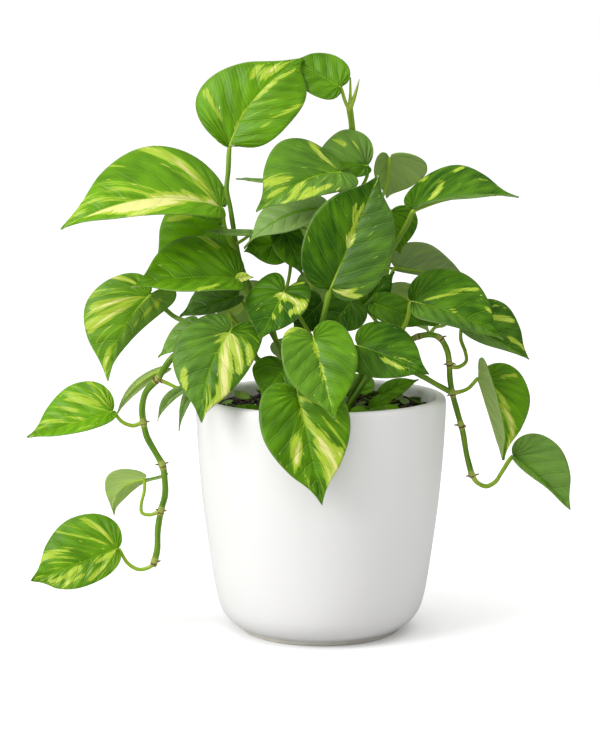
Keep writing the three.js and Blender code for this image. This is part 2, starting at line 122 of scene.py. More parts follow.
# ---------- the part's own tables, as its source has them ----------
def blade(base, tip, face, half, **more):
    """A blade's base, tip and facing, its left and right half widths, and settings that differ."""
    return dict(base=base, tip=tip, face=face, half=half, **more)


def stalk(radius, leaf, *path, **more):
    """A stem or leaf stalk along path, and the blade that it carries."""
    return dict(radius=radius, leaf=leaf, path=path, **more)


REAR = dict(lobe=0.14, arch=0.06)
# Each blade's tone, from 0 deep green to 1 fresh green, is partly its own colour and partly painted shade,
# darkest on blades deep in the plant; its grey-green bloom, one share per half, is partly waxy bloom and
# partly painted sheen
LEAVES = {
    "top_large": blade((-55, 0, 293), (-11, 10, 346), (-0.15, -1, 0.3), (32, 27), sweep=-0.09, arch=0.04,
        lobe=(0.03, -0.08), wide=(0.2, 0.52), point=(0.3, 0.45), bright=0.55),
    "top_small": blade((11.5, 4, 329), (-18, 13, 345), (0.1, -1, 0.3), (13, 15.5), lobe=0.1, wide=0.35,
        point=0.35, bright=0.42),
    "left_big": blade((-59, 0, 257), (-153, -28, 246), (0, -0.6, 0.8), (31, 42), arch=0.15,
        fold=(0.32, 0.18), lobe=(0, 0.1), wide=(0.3, 0.3), point=(0.2, 0.3), bright=0.65),
    "left_behind": blade((-60, 12, 245), (-100, 4, 223), (-0.1, -0.8, 0.6), (24, 30), arch=0.08, lobe=0.12,
        point=0.3, bright=0.75),
    "left_dark": blade((-48, -20, 216), (-111, -42, 213), (0, -0.5, 0.86), (30, 32), fold=0.3, arch=0.06,
        lobe=(0.02, 0.12), wide=0.34, bright=0.42),
    "left_outer": blade((-102, -12, 206), (-127, -26, 156), (-0.2, -1, 0.2), (15, 28), fold=(-0.75, 0.1),
        sweep=0.1, lobe=0.2, wide=(0, 0.28), point=(0.05, 0.3), bright=0.6, bloom=(0.35, 0.1)),
    "left_front": blade((-53, -52, 189), (-69, -76, 139), (-0.15, -1, 0.2), (22, 25), sweep=0.08, lobe=0.2,
        wide=0.27, bright=0.25, bloom=(0, 0.15)),
    "left_shade": blade((-50, -8, 205), (-84, -14, 193), (0, -0.6, 0.8), (8, 22), lobe=0.12, bright=0.1,
        bloom=(0.2, 0.2)),
    "centre_heart": blade((-22, -40, 211), (-36, -66, 185), (-0.2, -0.75, 0.6), (18, 20), lobe=(0.3, 0.38),
        wide=0.22, bright=0.15),
    "front_heart": blade((-5, -66, 187), (7, -92, 143), (0.1, -1, 0.25), (22, 22), lobe=0.2, wide=0.3,
        fold=0.2, bright=0.45, bloom=(0, 0.1)),
    "front_upright": blade((5, -48, 213), (33, -34, 278), (0.1, -1, 0.2), (27, 26), lobe=(0.06, 0.08),
        wide=0.38, point=0.38, fold=0.2, bright=0.12, bloom=(0, 0.15)),
    "top_centre": blade((12, -10, 279), (-38, -38, 257), (-0.1, -0.7, 0.7), (20, 33), arch=0.12,
        fold=(0.1, 0.1), lobe=0.12, wide=0.3, point=0.22, bright=0.36, bloom=(0.2, 0.1)),
    "top_dark": blade((28, 10, 282), (-9, 10, 282), (0, -0.95, 0.3), (8, 22), arch=0.05, lobe=(0.1, 0.14),
        bright=0.3, bloom=(0, 0.3)),
    "back_pale": blade((42, 30, 286), (41, 46, 260), (0, 0.8, 0.6), (9, 24), lobe=0.15, bright=0.55),
    "right_upper": blade((55, 0, 256), (117, -14, 264), (0, -0.55, 0.84), (29, 18), arch=0.09,
        fold=(0.1, 0.55), lobe=(0.14, -0.05), wide=0.3, bright=0.2, bloom=(0, 0.35)),
    "right_round": blade((43, 20, 254), (48, 17, 228), (0.1, -1, 0.2), (15, 14), lobe=0.12, bright=0.3),
    "right_grey": blade((46, 30, 219), (93, 22, 209), (0, 0.85, 0.5), (4, 20), arch=0.05, lobe=0.12,
        bright=0.25),
    "right_mid": blade((53, -31, 204), (106, -46, 183), (0.1, -0.7, 0.7), (30, 20), arch=0.08,
        fold=(0.1, 0.4), lobe=(0.14, -0.02), bright=0.2, bloom=(0, 0.15)),
    "right_outer": blade((85, -8, 187), (124, -20, 168), (0.1, -0.75, 0.66), (25, 10), arch=0.05,
        fold=(0.1, 0.4), lobe=(0.14, 0.04), bright=0.2, bloom=(0, 0.3)),
    "trail_upper": blade((95, -14, 156), (109, -20, 107), (0.5, -0.85, 0), (31, 20), fold=(0, 1.4),
        lobe=(0.16, 0.3), wide=0.34, point=0.3, bright=0.55),
    "trail_lower": blade((116, -12, 108), (150, -22, 77), (0.3, -0.8, 0.5), (25, 14), fold=(0.1, 0.85),
        arch=0.05, lobe=(0.16, 0.05), point=0.3, bright=0.35, bloom=(0.4, 0.3)),
    "right_front": blade((21, -48, 180), (62, -62, 165), (0.1, -0.8, 0.6), (22, 18), arch=0.04, lobe=0.14,
        bright=0.15),
    "right_shade": blade((26, -4, 199), (44, -4, 219), (0.2, -1, 0.2), (8, 9), lobe=0.12, bright=0.1),
    "right_slant": blade((32, -15, 201), (66, -19, 188), (0.1, -0.7, 0.7), (12, 11), lobe=0.12,
        bright=0.35),
    "right_tip": blade((71, -2, 191), (53, 2, 196), (0.1, -0.7, 0.6), (8, 8), bright=0.4),
    "over_rim": blade((-14, -74, 156), (0, -92, 94), (0.1, -1, 0.2), (26, 26), lobe=0.16, wide=0.28,
        arch=0.04, fold=0.12, bright=0.36),
    "soil_dark": blade((-21, -48, 167), (-35, -62, 152), (-0.3, -0.9, 0.3), (16, 17), bright=0.35),
    "centre_dark": blade((-23, -4, 237), (-46, -14, 232), (-0.2, -0.9, 0.4), (14, 15), bright=0.25),
    "mid_wavy": blade((3, -10, 257), (-46, -22, 235), (0, -0.5, 0.86), (14, 18), arch=0.14, lobe=0.1,
        ripple=2.6, bright=0.5, bloom=(1, 0.85)),
    "mid_sliver": blade((-42, -12, 243), (-70, -14, 244), (0, -0.3, 0.95), (6, 5), bright=0.35,
        bloom=(0.6, 0.6)),
    "centre_fold": blade((-22, -12, 246), (-11, -16, 218), (0.5, -0.8, 0.1), (10, 12), bright=0.15),
    "back_edge": blade((-22, 14, 272), (-51, 4, 274), (0, -0.05, 1), (12, 12), bright=0.5,
        bloom=(0.6, 0.6)),
    "gap_dark": blade((0, -20, 202), (-17, -30, 186), (0.1, -1, 0.2), (13, 13), bright=0.05),
    "gap_small": blade((18, -26, 204), (3, -42, 187), (0.1, -1, 0.2), (14, 13), bright=0.1),
    "vine_upper": blade((-124, -27, 138), (-174, -34, 123), (-0.1, -0.75, 0.65), (10, 25), fold=(0.25, 0.1),
        lobe=(0.06, 0.08), wide=(0.3, 0.32), point=0.25, bright=0.7),
    "vine_pale": blade((-106, -22, 96), (-125, -14, 72), (0, 1, 0.1), (12, 12), fold=(0, 0.9), sweep=-0.22,
        lobe=(0.14, 0.4), point=0.3, bright=0.8),
    "vine_end": blade((-122, -24, 54), (-173, -34, 36), (-0.1, -0.9, 0.45), (15, 28), lobe=(0.02, 0.14),
        wide=(0.45, 0.34), point=0.4, bright=0.5),
    "left_thin": blade((-95, -22, 162), (-124, -10, 131), (0.3, 0.8, 0.4), (3, 4), sweep=-0.1, bright=0.6),
    "left_tip_a": blade((-74, -28, 190), (-96, -34, 171), (0.2, -0.5, 0.85), (7, 9), bright=0.5,
        bloom=(0.5, 0.4)),
    "left_tip_b": blade((-81, -32, 152), (-97, -34, 133), (0.4, -0.7, 0.3), (2.5, 4), sweep=0.12,
        bright=0.5, bloom=(0.9, 0.8)),
    "left_tip_c": blade((-68, -44, 163), (-83, -52, 130), (0.4, -0.7, 0.3), (3, 4), sweep=0.1, bright=0.5,
        bloom=(0.9, 0.8)),
    "rear_left": blade((-34, 26, 206), (-64, 48, 172), (-0.3, 0.8, 0.5), (19, 19), **REAR),
    "rear_mid": blade((6, 34, 214), (-2, 62, 180), (0, 0.9, 0.4), (19, 19), **REAR),
    "rear_right": blade((40, 30, 204), (68, 52, 176), (0.3, 0.8, 0.5), (18, 18), **REAR),
    "rear_high": blade((-4, 34, 252), (-24, 56, 226), (-0.15, 0.85, 0.5), (17, 17), **REAR),
    "rear_low": blade((-12, 40, 172), (-26, 69, 154), (-0.2, 0.7, 0.7), (15, 15), **REAR),
}

STEMS = {
    "vine_left": [
        stalk(1.9, None, (-22, -14, STEM_START), (-22, -14, 141), (-28, -14, 158), (-46, -14, 172),
            (-68, -22, 178), (-86.5, -32, 172), (-97, -30, 157.5), (-104, -28, 149.5), (-106.5, -26, 140),
            (-106, -24, 131), (-104, -24, 122), (-99, -24, 112.5), (-95, -24, 105), (-93.5, -24, 95.5),
            (-93.5, -24, 86.5), (-96, -24, 77), (-98, -24, 65), (-98.5, -24, 53), (-101, -24, 43)),
        stalk(1.1, "vine_upper", (-106, -24, 131), (-112, -26, 129), (-118.5, -27, 131.5)),
        stalk(1, "vine_pale", (-96, -24, 77), (-102.5, -24, 74.5), (-107.5, -23, 75.5), (-108, -22, 80),
            (-106, -22, 89)),
        stalk(1.1, "vine_end", (-100, -24, 45), (-104, -24, 42), (-110, -24, 41), (-116.5, -24, 45)),
        stalk(1, "left_thin", (-97, -30, 157.5), (-96.5, -26, 160)),
        stalk(1, "left_tip_b", (-97, -30, 157.5), (-91, -30, 155), (-85, -31, 152.5)),
    ],
    "vine_right": [
        stalk(1.7, None, (8, -12, STEM_START), (8, -12, 141), (18, -17, 160), (40, -14, 173),
            (49.5, -18, 178), (57.5, -19, 181.5), (64.5, -21, 183), (70.5, -20, 181), (75, -19, 173.5),
            (76.5, -18, 165.5), (77, -18, 156.5), (78.5, -18, 147.5), (81.5, -18, 136.5), (85, -18, 124),
            (87.5, -18, 110), (91, -18, 96.5)),
        stalk(1.6, None, (16, -36, STEM_START), (16, -36, 141), (21, -38, 150), (29.5, -38, 161.5),
            (40.5, -38, 164), (50, -37, 164), (59, -33, 160), (68, -25, 154), (78.5, -18, 147.5)),
        stalk(1.1, "right_outer", (76.5, -18, 165.5), (79, -17, 163), (83, -15, 163), (87, -13, 166),
            (86.5, -11, 171.5), (84, -9, 178.5), (84, -8, 183.5)),
        stalk(1.1, "trail_upper", (78.5, -18, 147.5), (83, -17, 148), (88.5, -15, 150)),
        stalk(1.3, "trail_lower", (91, -18, 97.5), (93.5, -18, 93.5), (99.5, -17, 90.5), (105, -16, 93),
            (109, -14, 98.5)),
        stalk(1, "right_tip", (64.5, -21, 183), (68, -12, 186), (75, 2, 186.5)),
    ],
    "stem_centre": [
        stalk(2, None, (6, 6, STEM_START), (6, 6, 141), (8.5, 4, 183), (13.5, 10, 225), (18, 18, 260.5),
            (19, 24, 281.5), (19, 20, 303), (17, 8, 317), fresh=0.5),
        stalk(1, "top_small", (17, 9, 315), (14.5, 6, 320)),
        stalk(0.9, None, (17, 8, 316), (17.5, 8, 323.5), (17.5, 8, 334.5), end=0.5),
        stalk(1.3, None, (17, 9, 315), (20.5, 9, 324.5), (23, 9, 333.5), end=0.1),
        stalk(1.1, "top_dark", (18.5, 18, 260.5), (24.5, 18, 268), (28, 15, 275.5)),
        stalk(1.1, "top_centre", (16.5, 16, 251.5), (12, 2, 261.5), (12, -8, 273)),
        stalk(1, "back_pale", (16, 13, 239.5), (32.5, 20, 253), (41, 29, 272)),
        stalk(1, "mid_wavy", (14.5, 12, 237), (8.5, 1, 246), (4, -8, 254)),
        stalk(1, "back_edge", (16, 14, 245.5), (-1.5, 16, 263)),
        stalk(1, "centre_fold", (13, 7, 219), (-4, 4, 240), (-17.5, -3, 248.5)),
        stalk(1, "rear_mid", (8.5, 4, 183), (8, 18, 202)),
        stalk(1, "rear_high", (13.5, 10, 225), (4, 24, 243)),
        stalk(1, "rear_low", (7, 5.5, 157), (-2, 22, 168)),
    ],
    "stem_left": [
        stalk(1.5, "top_large", (-14, 2, STEM_START), (-14, 2, 141), (-26, 0, 174), (-35.5, -2, 192.5),
            (-48.5, -4, 225), (-52, -3, 242.5), (-54.5, -2, 258), (-56.5, -1, 267.5), (-55.5, 0, 279.5)),
        stalk(1.2, "left_big", (-50, -4, 228.5), (-55, -3, 238), (-58, -2, 247.5)),
        stalk(1.1, "left_behind", (-48.5, -4, 225), (-54, 6, 234)),
        stalk(1.2, "left_dark", (-38.5, -2, 199.5), (-43.5, -12, 207)),
        stalk(1.1, "centre_dark", (-30.5, -1, 183.5), (-21, 0, 207.5), (-18.5, 0, 227)),
        stalk(0.9, "mid_sliver", (-51, -3, 235.5), (-46.5, -9, 238.5)),
        stalk(1, "rear_left", (-26, 0, 174), (-31, 12, 192)),
    ],
    "stem_front": [
        stalk(1.7, "front_upright", (3, -30, STEM_START), (3, -30, 141), (-2.5, -38, 164), (-1, -40, 185),
            (2.5, -45, 202.5)),
        stalk(1.3, "front_heart", (-2.5, -38, 160.5), (-3.5, -54, 177)),
        stalk(1.3, "over_rim", (-2.5, -36, 155), (-7.5, -52, 166), (-12, -68, 161.5)),
        stalk(1.1, "soil_dark", (-2.5, -37, 157), (-11.5, -43, 167)),
        stalk(1.2, "centre_heart", (-1.5, -39, 176), (-11.5, -34, 193), (-18.5, -36, 205)),
        stalk(1, "gap_dark", (-1, -40, 185), (6, -18, 188.5), (2.5, -11, 197)),
        stalk(1, "gap_small", (-1, -39, 182), (12.5, -22, 184.5), (19, -19, 198)),
        stalk(1.2, "right_front", (-2, -38, 163), (9.5, -42, 169.5), (17.5, -47, 177)),
    ],
    "stem_left_low": [
        stalk(1.5, "left_outer", (-30, -24, STEM_START), (-30, -24, 141), (-40, -20, 172.5),
            (-48.5, -20, 188), (-61.5, -12, 189), (-79, -4, 188.5), (-88, 1, 191), (-95.5, 6, 196.5),
            (-100, 0, 202)),
        stalk(1.2, "left_front", (-47, -20, 186), (-54.5, -32, 197), (-53.5, -44, 194.5)),
        stalk(1.1, "left_shade", (-42.5, -20, 177.5), (-45, -6, 196)),
        stalk(1, "left_tip_a", (-44.5, -20, 182), (-60, -24, 183.5)),
        stalk(1, "left_tip_c", (-40.5, -20, 173.5), (-55, -32, 174), (-64, -40, 166)),
    ],
    "stem_right": [
        stalk(1.6, "right_upper", (18, 4, STEM_START), (18, 4, 141), (38, 2, 183), (38, 4, 201),
            (39.5, 6, 216), (43, 6, 231), (46.5, 5, 237.5), (51.5, 3, 246.5)),
        stalk(1.1, "right_grey", (38, 4, 204), (42.5, 22, 212.5)),
        stalk(1.1, "right_round", (40, 5, 219), (38.5, 19, 226), (39, 25, 240.5)),
        stalk(1, "right_shade", (38, 2, 183), (32, 5, 190), (27, 1, 196.5)),
        stalk(1.4, "right_mid", (36, 2.5, 179), (42, -12, 186), (47.5, -28, 186.5), (51, -31, 195)),
        stalk(1.1, "right_slant", (38, 2, 179.5), (34.5, -7, 185.5), (31.5, -9, 194)),
        stalk(1, "rear_right", (38, 2, 183), (40, 15, 196)),
    ],
}

# Small extra blades: a turned-over lobe at the base of the left dark blade, and young leaves on the soil
YOUNG = dict(arch=0.1, lobe=0.12)
LOW_LEAVES = {
    "curled_lobe": blade((-50.5, -24, 214.5), (-40, -29, 218), (-0.1, -0.8, 0.5), (3.6, 4.2), arch=0.2,
        fold=0.5, lobe=0.02, wide=0.45, point=0.6, bright=0.9),
    "young_wall": blade((38, 26, 139), (61, 26, 149), (-0.3, -0.8, 0.5), (7, 6), **YOUNG),
    "young_front": blade((17, -45, 137), (29, -50, 142), (0, -0.8, 0.6), (5, 5), **YOUNG),
    "young_flat": blade((32, -36, 137.5), (49, -42, 140), (0, -0.45, 0.9), (6, 6), arch=0.12, lobe=0.12),
    "young_side": blade((30, -20, 138), (44, -26, 146), (-0.2, -0.8, 0.5), (6, 6), **YOUNG),
    "young_left": blade((-36, -44, 137.5), (-50, -40, 143), (0, -0.8, 0.6), (5, 5), **YOUNG),
    "young_back": blade((-20, 36, 138), (-38, 48, 148), (0.2, 0.7, 0.7), (9, 9), **YOUNG),
    "young_rear": blade((22, 40, 138), (30, 58, 150), (0, -0.6, 0.8), (10, 10), **YOUNG),
}

# Pale streaks: (side, round) where one starts and ends, its reach and its strength. side runs from -1 at
# the left margin over the midrib to 1 at the right one, and round from the base, 0, to the tip, 1.
STREAKS = {
    "top_large": [(0.3, 0.5, 0.3, 0.9, 0.12, 0.35), (-0.7, 0.8, -0.3, 0.86, 0.035, 0.9),
        (-0.8, 0.92, -0.5, 0.9, 0.02, 0.8), (0.03, 0.64, 0.13, 0.78, 0.018, 1.1),
        (0.15, 0.8, 0.57, 0.88, 0.018, 0.9), (-0.9, 0.54, -0.33, 0.58, 0.014, 0.8),
        (0.55, 0.47, 0.97, 0.61, 0.014, 0.8)],
    "left_big": [(0, 0.53, -0.12, 0.62, 0.016, 1.9), (-0.1, 0.62, -0.35, 0.82, 0.035, 2.2),
        (-0.45, 0.63, -0.6, 0.74, 0.035, 1.9), (-0.75, 0.62, -0.95, 0.68, 0.02, 1.1),
        (0.45, 0.35, 0.5, 0.9, 0.16, 0.5), (0.12, 0.52, 0.67, 0.5, 0.014, 1.1),
        (0.67, 0.5, 0.9, 0.53, 0.022, 0.9), (1, 0.93, 0.4, 0.9, 0.03, 0.75),
        (1, 0.7, 0.8, 0.68, 0.014, 0.9), (0.7, 0.85, 0.4, 0.82, 0.02, 0.6)],
    "left_dark": [(1, 0.46, 0.77, 0.43, 0.014, 1), (-0.8, 0.59, -0.95, 0.61, 0.012, 0.9),
        (-0.77, 0.53, -0.93, 0.55, 0.012, 0.9)],
    "left_behind": [(0.83, 0.68, 0.57, 0.62, 0.018, 1)],
    "left_outer": [(0.6, 0.3, 0.6, 0.85, 0.14, 0.5), (1, 0.37, 0.6, 0.33, 0.03, 1),
        (0.17, 0.56, 0.8, 0.58, 0.02, 1.1), (0.3, 0.63, 0.85, 0.69, 0.03, 0.9),
        (-0.43, 0.47, -0.5, 0.54, 0.03, 1), (-0.47, 0.62, -0.5, 0.67, 0.02, 0.9),
        (0.3, 0.86, 0.8, 0.92, 0.03, 0.9)],
    "left_front": [(-0.6, 0.45, -0.7, 0.9, 0.1, 0.5), (-0.05, 0.54, -0.87, 0.75, 0.035, 1.4),
        (-0.87, 0.75, -0.93, 0.88, 0.04, 1.2), (-0.1, 0.47, -0.8, 0.59, 0.02, 1.3),
        (-0.7, 0.47, -0.93, 0.52, 0.014, 1.1), (0.77, 0.71, 0.85, 0.76, 0.02, 1.1)],
    "centre_heart": [(0, 0.59, -0.87, 0.51, 0.028, 1.3), (-0.87, 0.51, -0.7, 0.63, 0.025, 1.1),
        (-0.83, 0.25, -0.6, 0.2, 0.03, 0.9), (-0.03, 0.76, -0.3, 0.76, 0.014, 0.8),
        (-0.13, 0.67, -0.3, 0.69, 0.014, 0.8)],
    "front_heart": [(1, 0.28, 0.85, 0.12, 0.045, 0.95), (0.03, 0.55, -0.05, 0.8, 0.016, 0.85),
        (0.1, 0.72, -0.1, 0.92, 0.016, 0.7)],
    "front_upright": [(0, 0.66, -0.15, 0.8, 0.016, 1.2), (-0.4, 0.79, -0.2, 0.74, 0.014, 0.8),
        (0.25, 0.2, 0.53, 0.33, 0.03, 1.4), (0.55, 0.26, 0.8, 0.3, 0.03, 1.2),
        (0.5, 0.97, 0.1, 0.95, 0.02, 0.7), (0.43, 0.66, 0.56, 0.72, 0.012, 0.8),
        (0.62, 0.5, 0.72, 0.54, 0.012, 0.7)],
    "top_centre": [(-0.3, 0.6, -0.6, 0.85, 0.12, 0.4), (0.5, 0.4, 0.6, 0.85, 0.14, 0.3),
        (0.85, 0.38, 0.15, 0.48, 0.022, 1.2), (-0.1, 0.71, -0.8, 0.75, 0.02, 1),
        (0.9, 0.82, 0.3, 0.77, 0.02, 0.8), (-0.7, 0.56, -0.9, 0.7, 0.022, 0.95),
        (0.37, 0.88, 0.1, 0.84, 0.02, 0.9), (-0.6, 0.66, -0.9, 0.8, 0.02, 0.9)],
    "top_dark": [(0.87, 0.66, 0.63, 0.63, 0.014, 0.8), (0.63, 0.53, 0.5, 0.5, 0.012, 0.8)],
    "right_upper": [(-0.15, 0.6, -0.5, 0.585, 0.014, 1), (-0.77, 0.74, -1, 0.87, 0.012, 0.75),
        (-1, 0.38, -0.85, 0.42, 0.018, 0.8), (-0.92, 0.61, -0.82, 0.6, 0.012, 0.9)],
    "right_mid": [(-0.1, 0.6, -0.9, 0.66, 0.01, 0.75), (-0.1, 0.72, 0.05, 0.75, 0.012, 0.8),
        (-0.85, 0.72, -0.95, 0.8, 0.018, 0.7), (0.4, 0.7, 0.6, 0.72, 0.012, 0.7)],
    "right_outer": [(-0.8, 0.5, -0.95, 0.55, 0.012, 1), (-0.6, 0.61, -0.85, 0.66, 0.016, 1.1),
        (-0.45, 0.8, -0.85, 0.88, 0.02, 1.1)],
    "trail_upper": [(-0.5, 0.4, -0.85, 0.41, 0.012, 0.9), (-0.1, 0.52, -0.43, 0.63, 0.01, 0.8),
        (-0.4, 0.66, -0.97, 0.87, 0.02, 1.2)],
    "right_front": [(0.3, 0.68, 0.45, 0.78, 0.025, 1), (-0.15, 0.77, -0.3, 0.86, 0.014, 0.8)],
    "over_rim": [(-0.5, 0.55, -0.6, 0.9, 0.1, 0.5), (0.4, 0.65, 0.5, 0.8, 0.08, 0.5),
        (0, 0.6, -0.4, 0.7, 0.018, 1.1), (-0.4, 0.7, -0.97, 0.8, 0.035, 1.4),
        (-0.7, 0.73, -0.9, 0.7, 0.02, 1), (0.33, 0.69, 0.57, 0.73, 0.02, 1.1),
        (-0.03, 0.53, -0.35, 0.5, 0.014, 1)],
    "rear_left": [(0.1, 0.5, 0.8, 0.6, 0.03, 1.2), (-0.2, 0.7, -0.8, 0.8, 0.03, 1)],
    "rear_mid": [(-0.1, 0.5, -0.8, 0.62, 0.04, 1.2), (0.3, 0.7, 0.8, 0.75, 0.02, 1)],
    "rear_right": [(0.1, 0.6, 0.9, 0.7, 0.03, 1.1), (-0.5, 0.4, -0.9, 0.5, 0.02, 1)],
    "rear_high": [(-0.2, 0.5, -0.9, 0.6, 0.03, 1.2), (0.2, 0.65, 0.7, 0.8, 0.04, 1.1)],
    "rear_low": [(0.1, 0.5, 0.9, 0.62, 0.03, 1.1)],
    "curled_lobe": [(-0.5, 0.4, -0.5, 0.8, 0.3, 1), (0.5, 0.4, 0.5, 0.8, 0.3, 1.3)],
    "mid_wavy": [(0.5, 0.6, 0.9, 0.66, 0.014, 0.7), (-0.5, 0.55, -0.8, 0.6, 0.014, 0.8)],
    "vine_upper": [(0.5, 0.3, 0.5, 0.85, 0.14, 0.6), (0.9, 0.43, 0.33, 0.4, 0.04, 0.75),
        (0.3, 0.54, 0.73, 0.62, 0.022, 0.95), (0.37, 0.66, 0.87, 0.76, 0.02, 0.8),
        (-0.7, 0.53, -0.75, 0.64, 0.016, 0.75)],
    "vine_end": [(0.5, 0.35, 0.5, 0.9, 0.14, 0.5), (-0.5, 0.4, -0.5, 0.85, 0.14, 0.55),
        (0.87, 0.47, 0.2, 0.43, 0.02, 1), (0.5, 0.71, 1, 0.87, 0.022, 0.85),
        (-0.2, 0.63, -0.67, 0.81, 0.024, 1), (-0.05, 0.41, -0.2, 0.47, 0.024, 1),
        (-0.55, 0.57, -0.75, 0.66, 0.018, 0.95), (-0.55, 0.44, -0.8, 0.49, 0.014, 0.95),
        (0.15, 0.55, 0.4, 0.56, 0.012, 0.8)],
}

# Joints along the vines with a brown ring: a point on the vine, and the ways its root stubs point
SCARS = {
    "vine_left": [
        ((-97, -30, 157.5), (0.7, -0.5, -0.5), (-0.8, -0.5, 0.3)),
        ((-106, -24, 131), (1, -0.3, 0.1), (-0.9, -0.4, -0.3)),
        ((-95, -24, 105), (1, -0.2, 0.45), (-1, -0.3, 0.1)),
        ((-96, -24, 77), (1, -0.4, 0.1), (-1, -0.4, 0.3)),
        ((-100, -24, 45.5), (-0.6, -0.3, -0.8), (0.9, -0.3, 0.2)),
    ],
    "vine_right": [
        ((76.5, -18, 165.5), (-1, -0.4, -0.2), (1, -0.5, 0)),
        ((78.5, -18, 147.5), (-1, -0.4, -0.5)),
        ((83.8, -18, 128.4), (1, -0.3, -0.2), (-1, -0.3, -0.1)),
        ((91, -18, 97.5), (-1, -0.3, -0.1), (1, -0.3, 0.2)),
        ((70.5, -20, 181), (0.9, -0.3, 0.3)),
        ((57.5, -19, 181.5), (-0.6, -0.3, -0.7)),
    ],
}


# ---------- node helpers ----------
class Wire:
    """An output socket. Sums and products with it make the nodes that work them out."""

    def __init__(self, socket):
        self.socket, self.tree = socket, socket.id_data

    def __add__(self, other):
        return calc("ADD", self, other)

    def __sub__(self, other):
        return calc("SUBTRACT", self, other)

    def __mul__(self, other):
        return calc("MULTIPLY", self, other)

    def clamped(self):
        self.socket.node.use_clamp = True
        return self


def wires(sockets):
    return {socket.name: Wire(socket) for socket in sockets if socket.name}


def value_at(socket, value):
    """Joins a wire to socket, or sets it to a number or a colour."""
    if isinstance(value, Wire):
        socket.id_data.links.new(value.socket, socket)
    else:
        socket.default_value = value


def add_node(tree, kind, inputs=None, output=0, **settings):
    """Adds a node and gives the wire from one of its outputs."""
    node = tree.nodes.new(kind)
    for name, setting in settings.items():
        setattr(node, name, setting)
    for key, value in (inputs or {}).items():
        value_at(node.inputs[key], value)
    return Wire(node.outputs[output])


def calc(operation, *values):
    tree = next(value.tree for value in values if isinstance(value, Wire))
    return add_node(tree, "ShaderNodeMath", dict(enumerate(values)), operation=operation)


def blend(share, first, second):
    colours = {"Factor": share, "A": first, "B": second}
    return add_node(share.tree, "ShaderNodeMix", colours, "Result", data_type="RGBA")


def layered(colour, *layers):
    """colour under layers of (share, colour)."""
    for share, over in layers:
        colour = blend(share, colour, over)
    return colour


def ease(value, low, high, start=0.0, end=1.0):
    """start below low, end above high, and a smooth step between."""
    ends = {"Value": value, "From Min": low, "From Max": high, "To Min": start, "To Max": end}
    return add_node(value.tree, "ShaderNodeMapRange", ends, "Result", interpolation_type="SMOOTHSTEP")


def stretched(vector, *scale):
    return add_node(vector.tree, "ShaderNodeMapping", {"Vector": vector, "Scale": scale})


def cloud(vector, scale, detail=2.0, roughness=0.5, distortion=0.0):
    noise_of = {
        "Vector": vector, "Scale": scale, "Detail": detail, "Roughness": roughness, "Distortion": distortion,
    }
    return add_node(vector.tree, "ShaderNodeTexNoise", noise_of, "Fac")


def axis_of(vector, letter):
    return add_node(vector.tree, "ShaderNodeSeparateXYZ", {"Vector": vector}, letter)


def attribute(tree, name, output="Fac"):
    return add_node(tree, "ShaderNodeAttribute", None, output, attribute_name=name)


def object_place(tree):
    return add_node(tree, "ShaderNodeTexCoord", None, "Object")


def shared_effect(name, inputs, make):
    """A shader node group. make turns its input wires, by name, into its output wires, by name."""
    group = bpy.data.node_groups.new(name, "ShaderNodeTree")
    for label in inputs:
        kind = "NodeSocketVector" if label in ("Place", "Map") else "NodeSocketFloat"
        group.interface.new_socket(name=label, in_out="INPUT", socket_type=kind)
    made = make(wires(group.nodes.new("NodeGroupInput").outputs))
    for label in made:
        group.interface.new_socket(name=label, in_out="OUTPUT", socket_type="NodeSocketFloat")
    out = group.nodes.new("NodeGroupOutput")
    for label, value in made.items():
        value_at(out.inputs[label], value)
    return group


def place_group(tree, group, **inputs):
    node = tree.nodes.new("ShaderNodeGroup")
    node.node_tree = group
    for name, value in inputs.items():
        value_at(node.inputs[name.replace("_", " ").title()], value)
    return wires(node.outputs)


# ---------- effects that several materials share ----------
def make_grain(given):
    """Fine grain over a coarser unevenness, as a height and as a change of shade."""
    fine = cloud(given["Place"], given["Fine Size"], 4, 0.6)
    coarse = cloud(given["Place"], given["Coarse Size"], 2, 0.5)
    return {"Height": coarse * given["Coarse Share"] + fine, "Shade": ease(coarse, 0.3, 0.7)}


def make_veins(given):
    """Side veins that run out from the midrib, with a fine net between them. The map's first number is the
    side of the blade and its second how far round the margin a vein ends."""
    sway = cloud(given["Map"], 5.0, 2) - 0.5
    turns = (sway * given["Waver"] + axis_of(given["Map"], "Y")) * given["Count"]
    away = calc("ABSOLUTE", axis_of(given["Map"], "X") - 0.5) * 2
    main = ease(calc("PINGPONG", turns, 0.5), 0.0, 0.09, 1, 0)
    quilt = calc("COSINE", turns * math.tau) * -0.5
    return {
        "Main": main * ease(away, 0.55, 1.0, 1, 0.25),
        "Fine": ease(calc("PINGPONG", turns * 5, 0.5), 0.0, 0.3, 1, 0),
        # The quilting rise between side veins: a bump height, and on the upper side also painted shade
        # (lighter ridges, darker vein grooves)
        "Quilt And Shade": quilt * ease(calc("PINGPONG", away, 0.5), 0.0, 0.35) * 0.6,
        "Midrib": ease(away, 0.0, 0.035, 1, 0),
        "Margin": ease(away, 0.95, 0.985),
    }


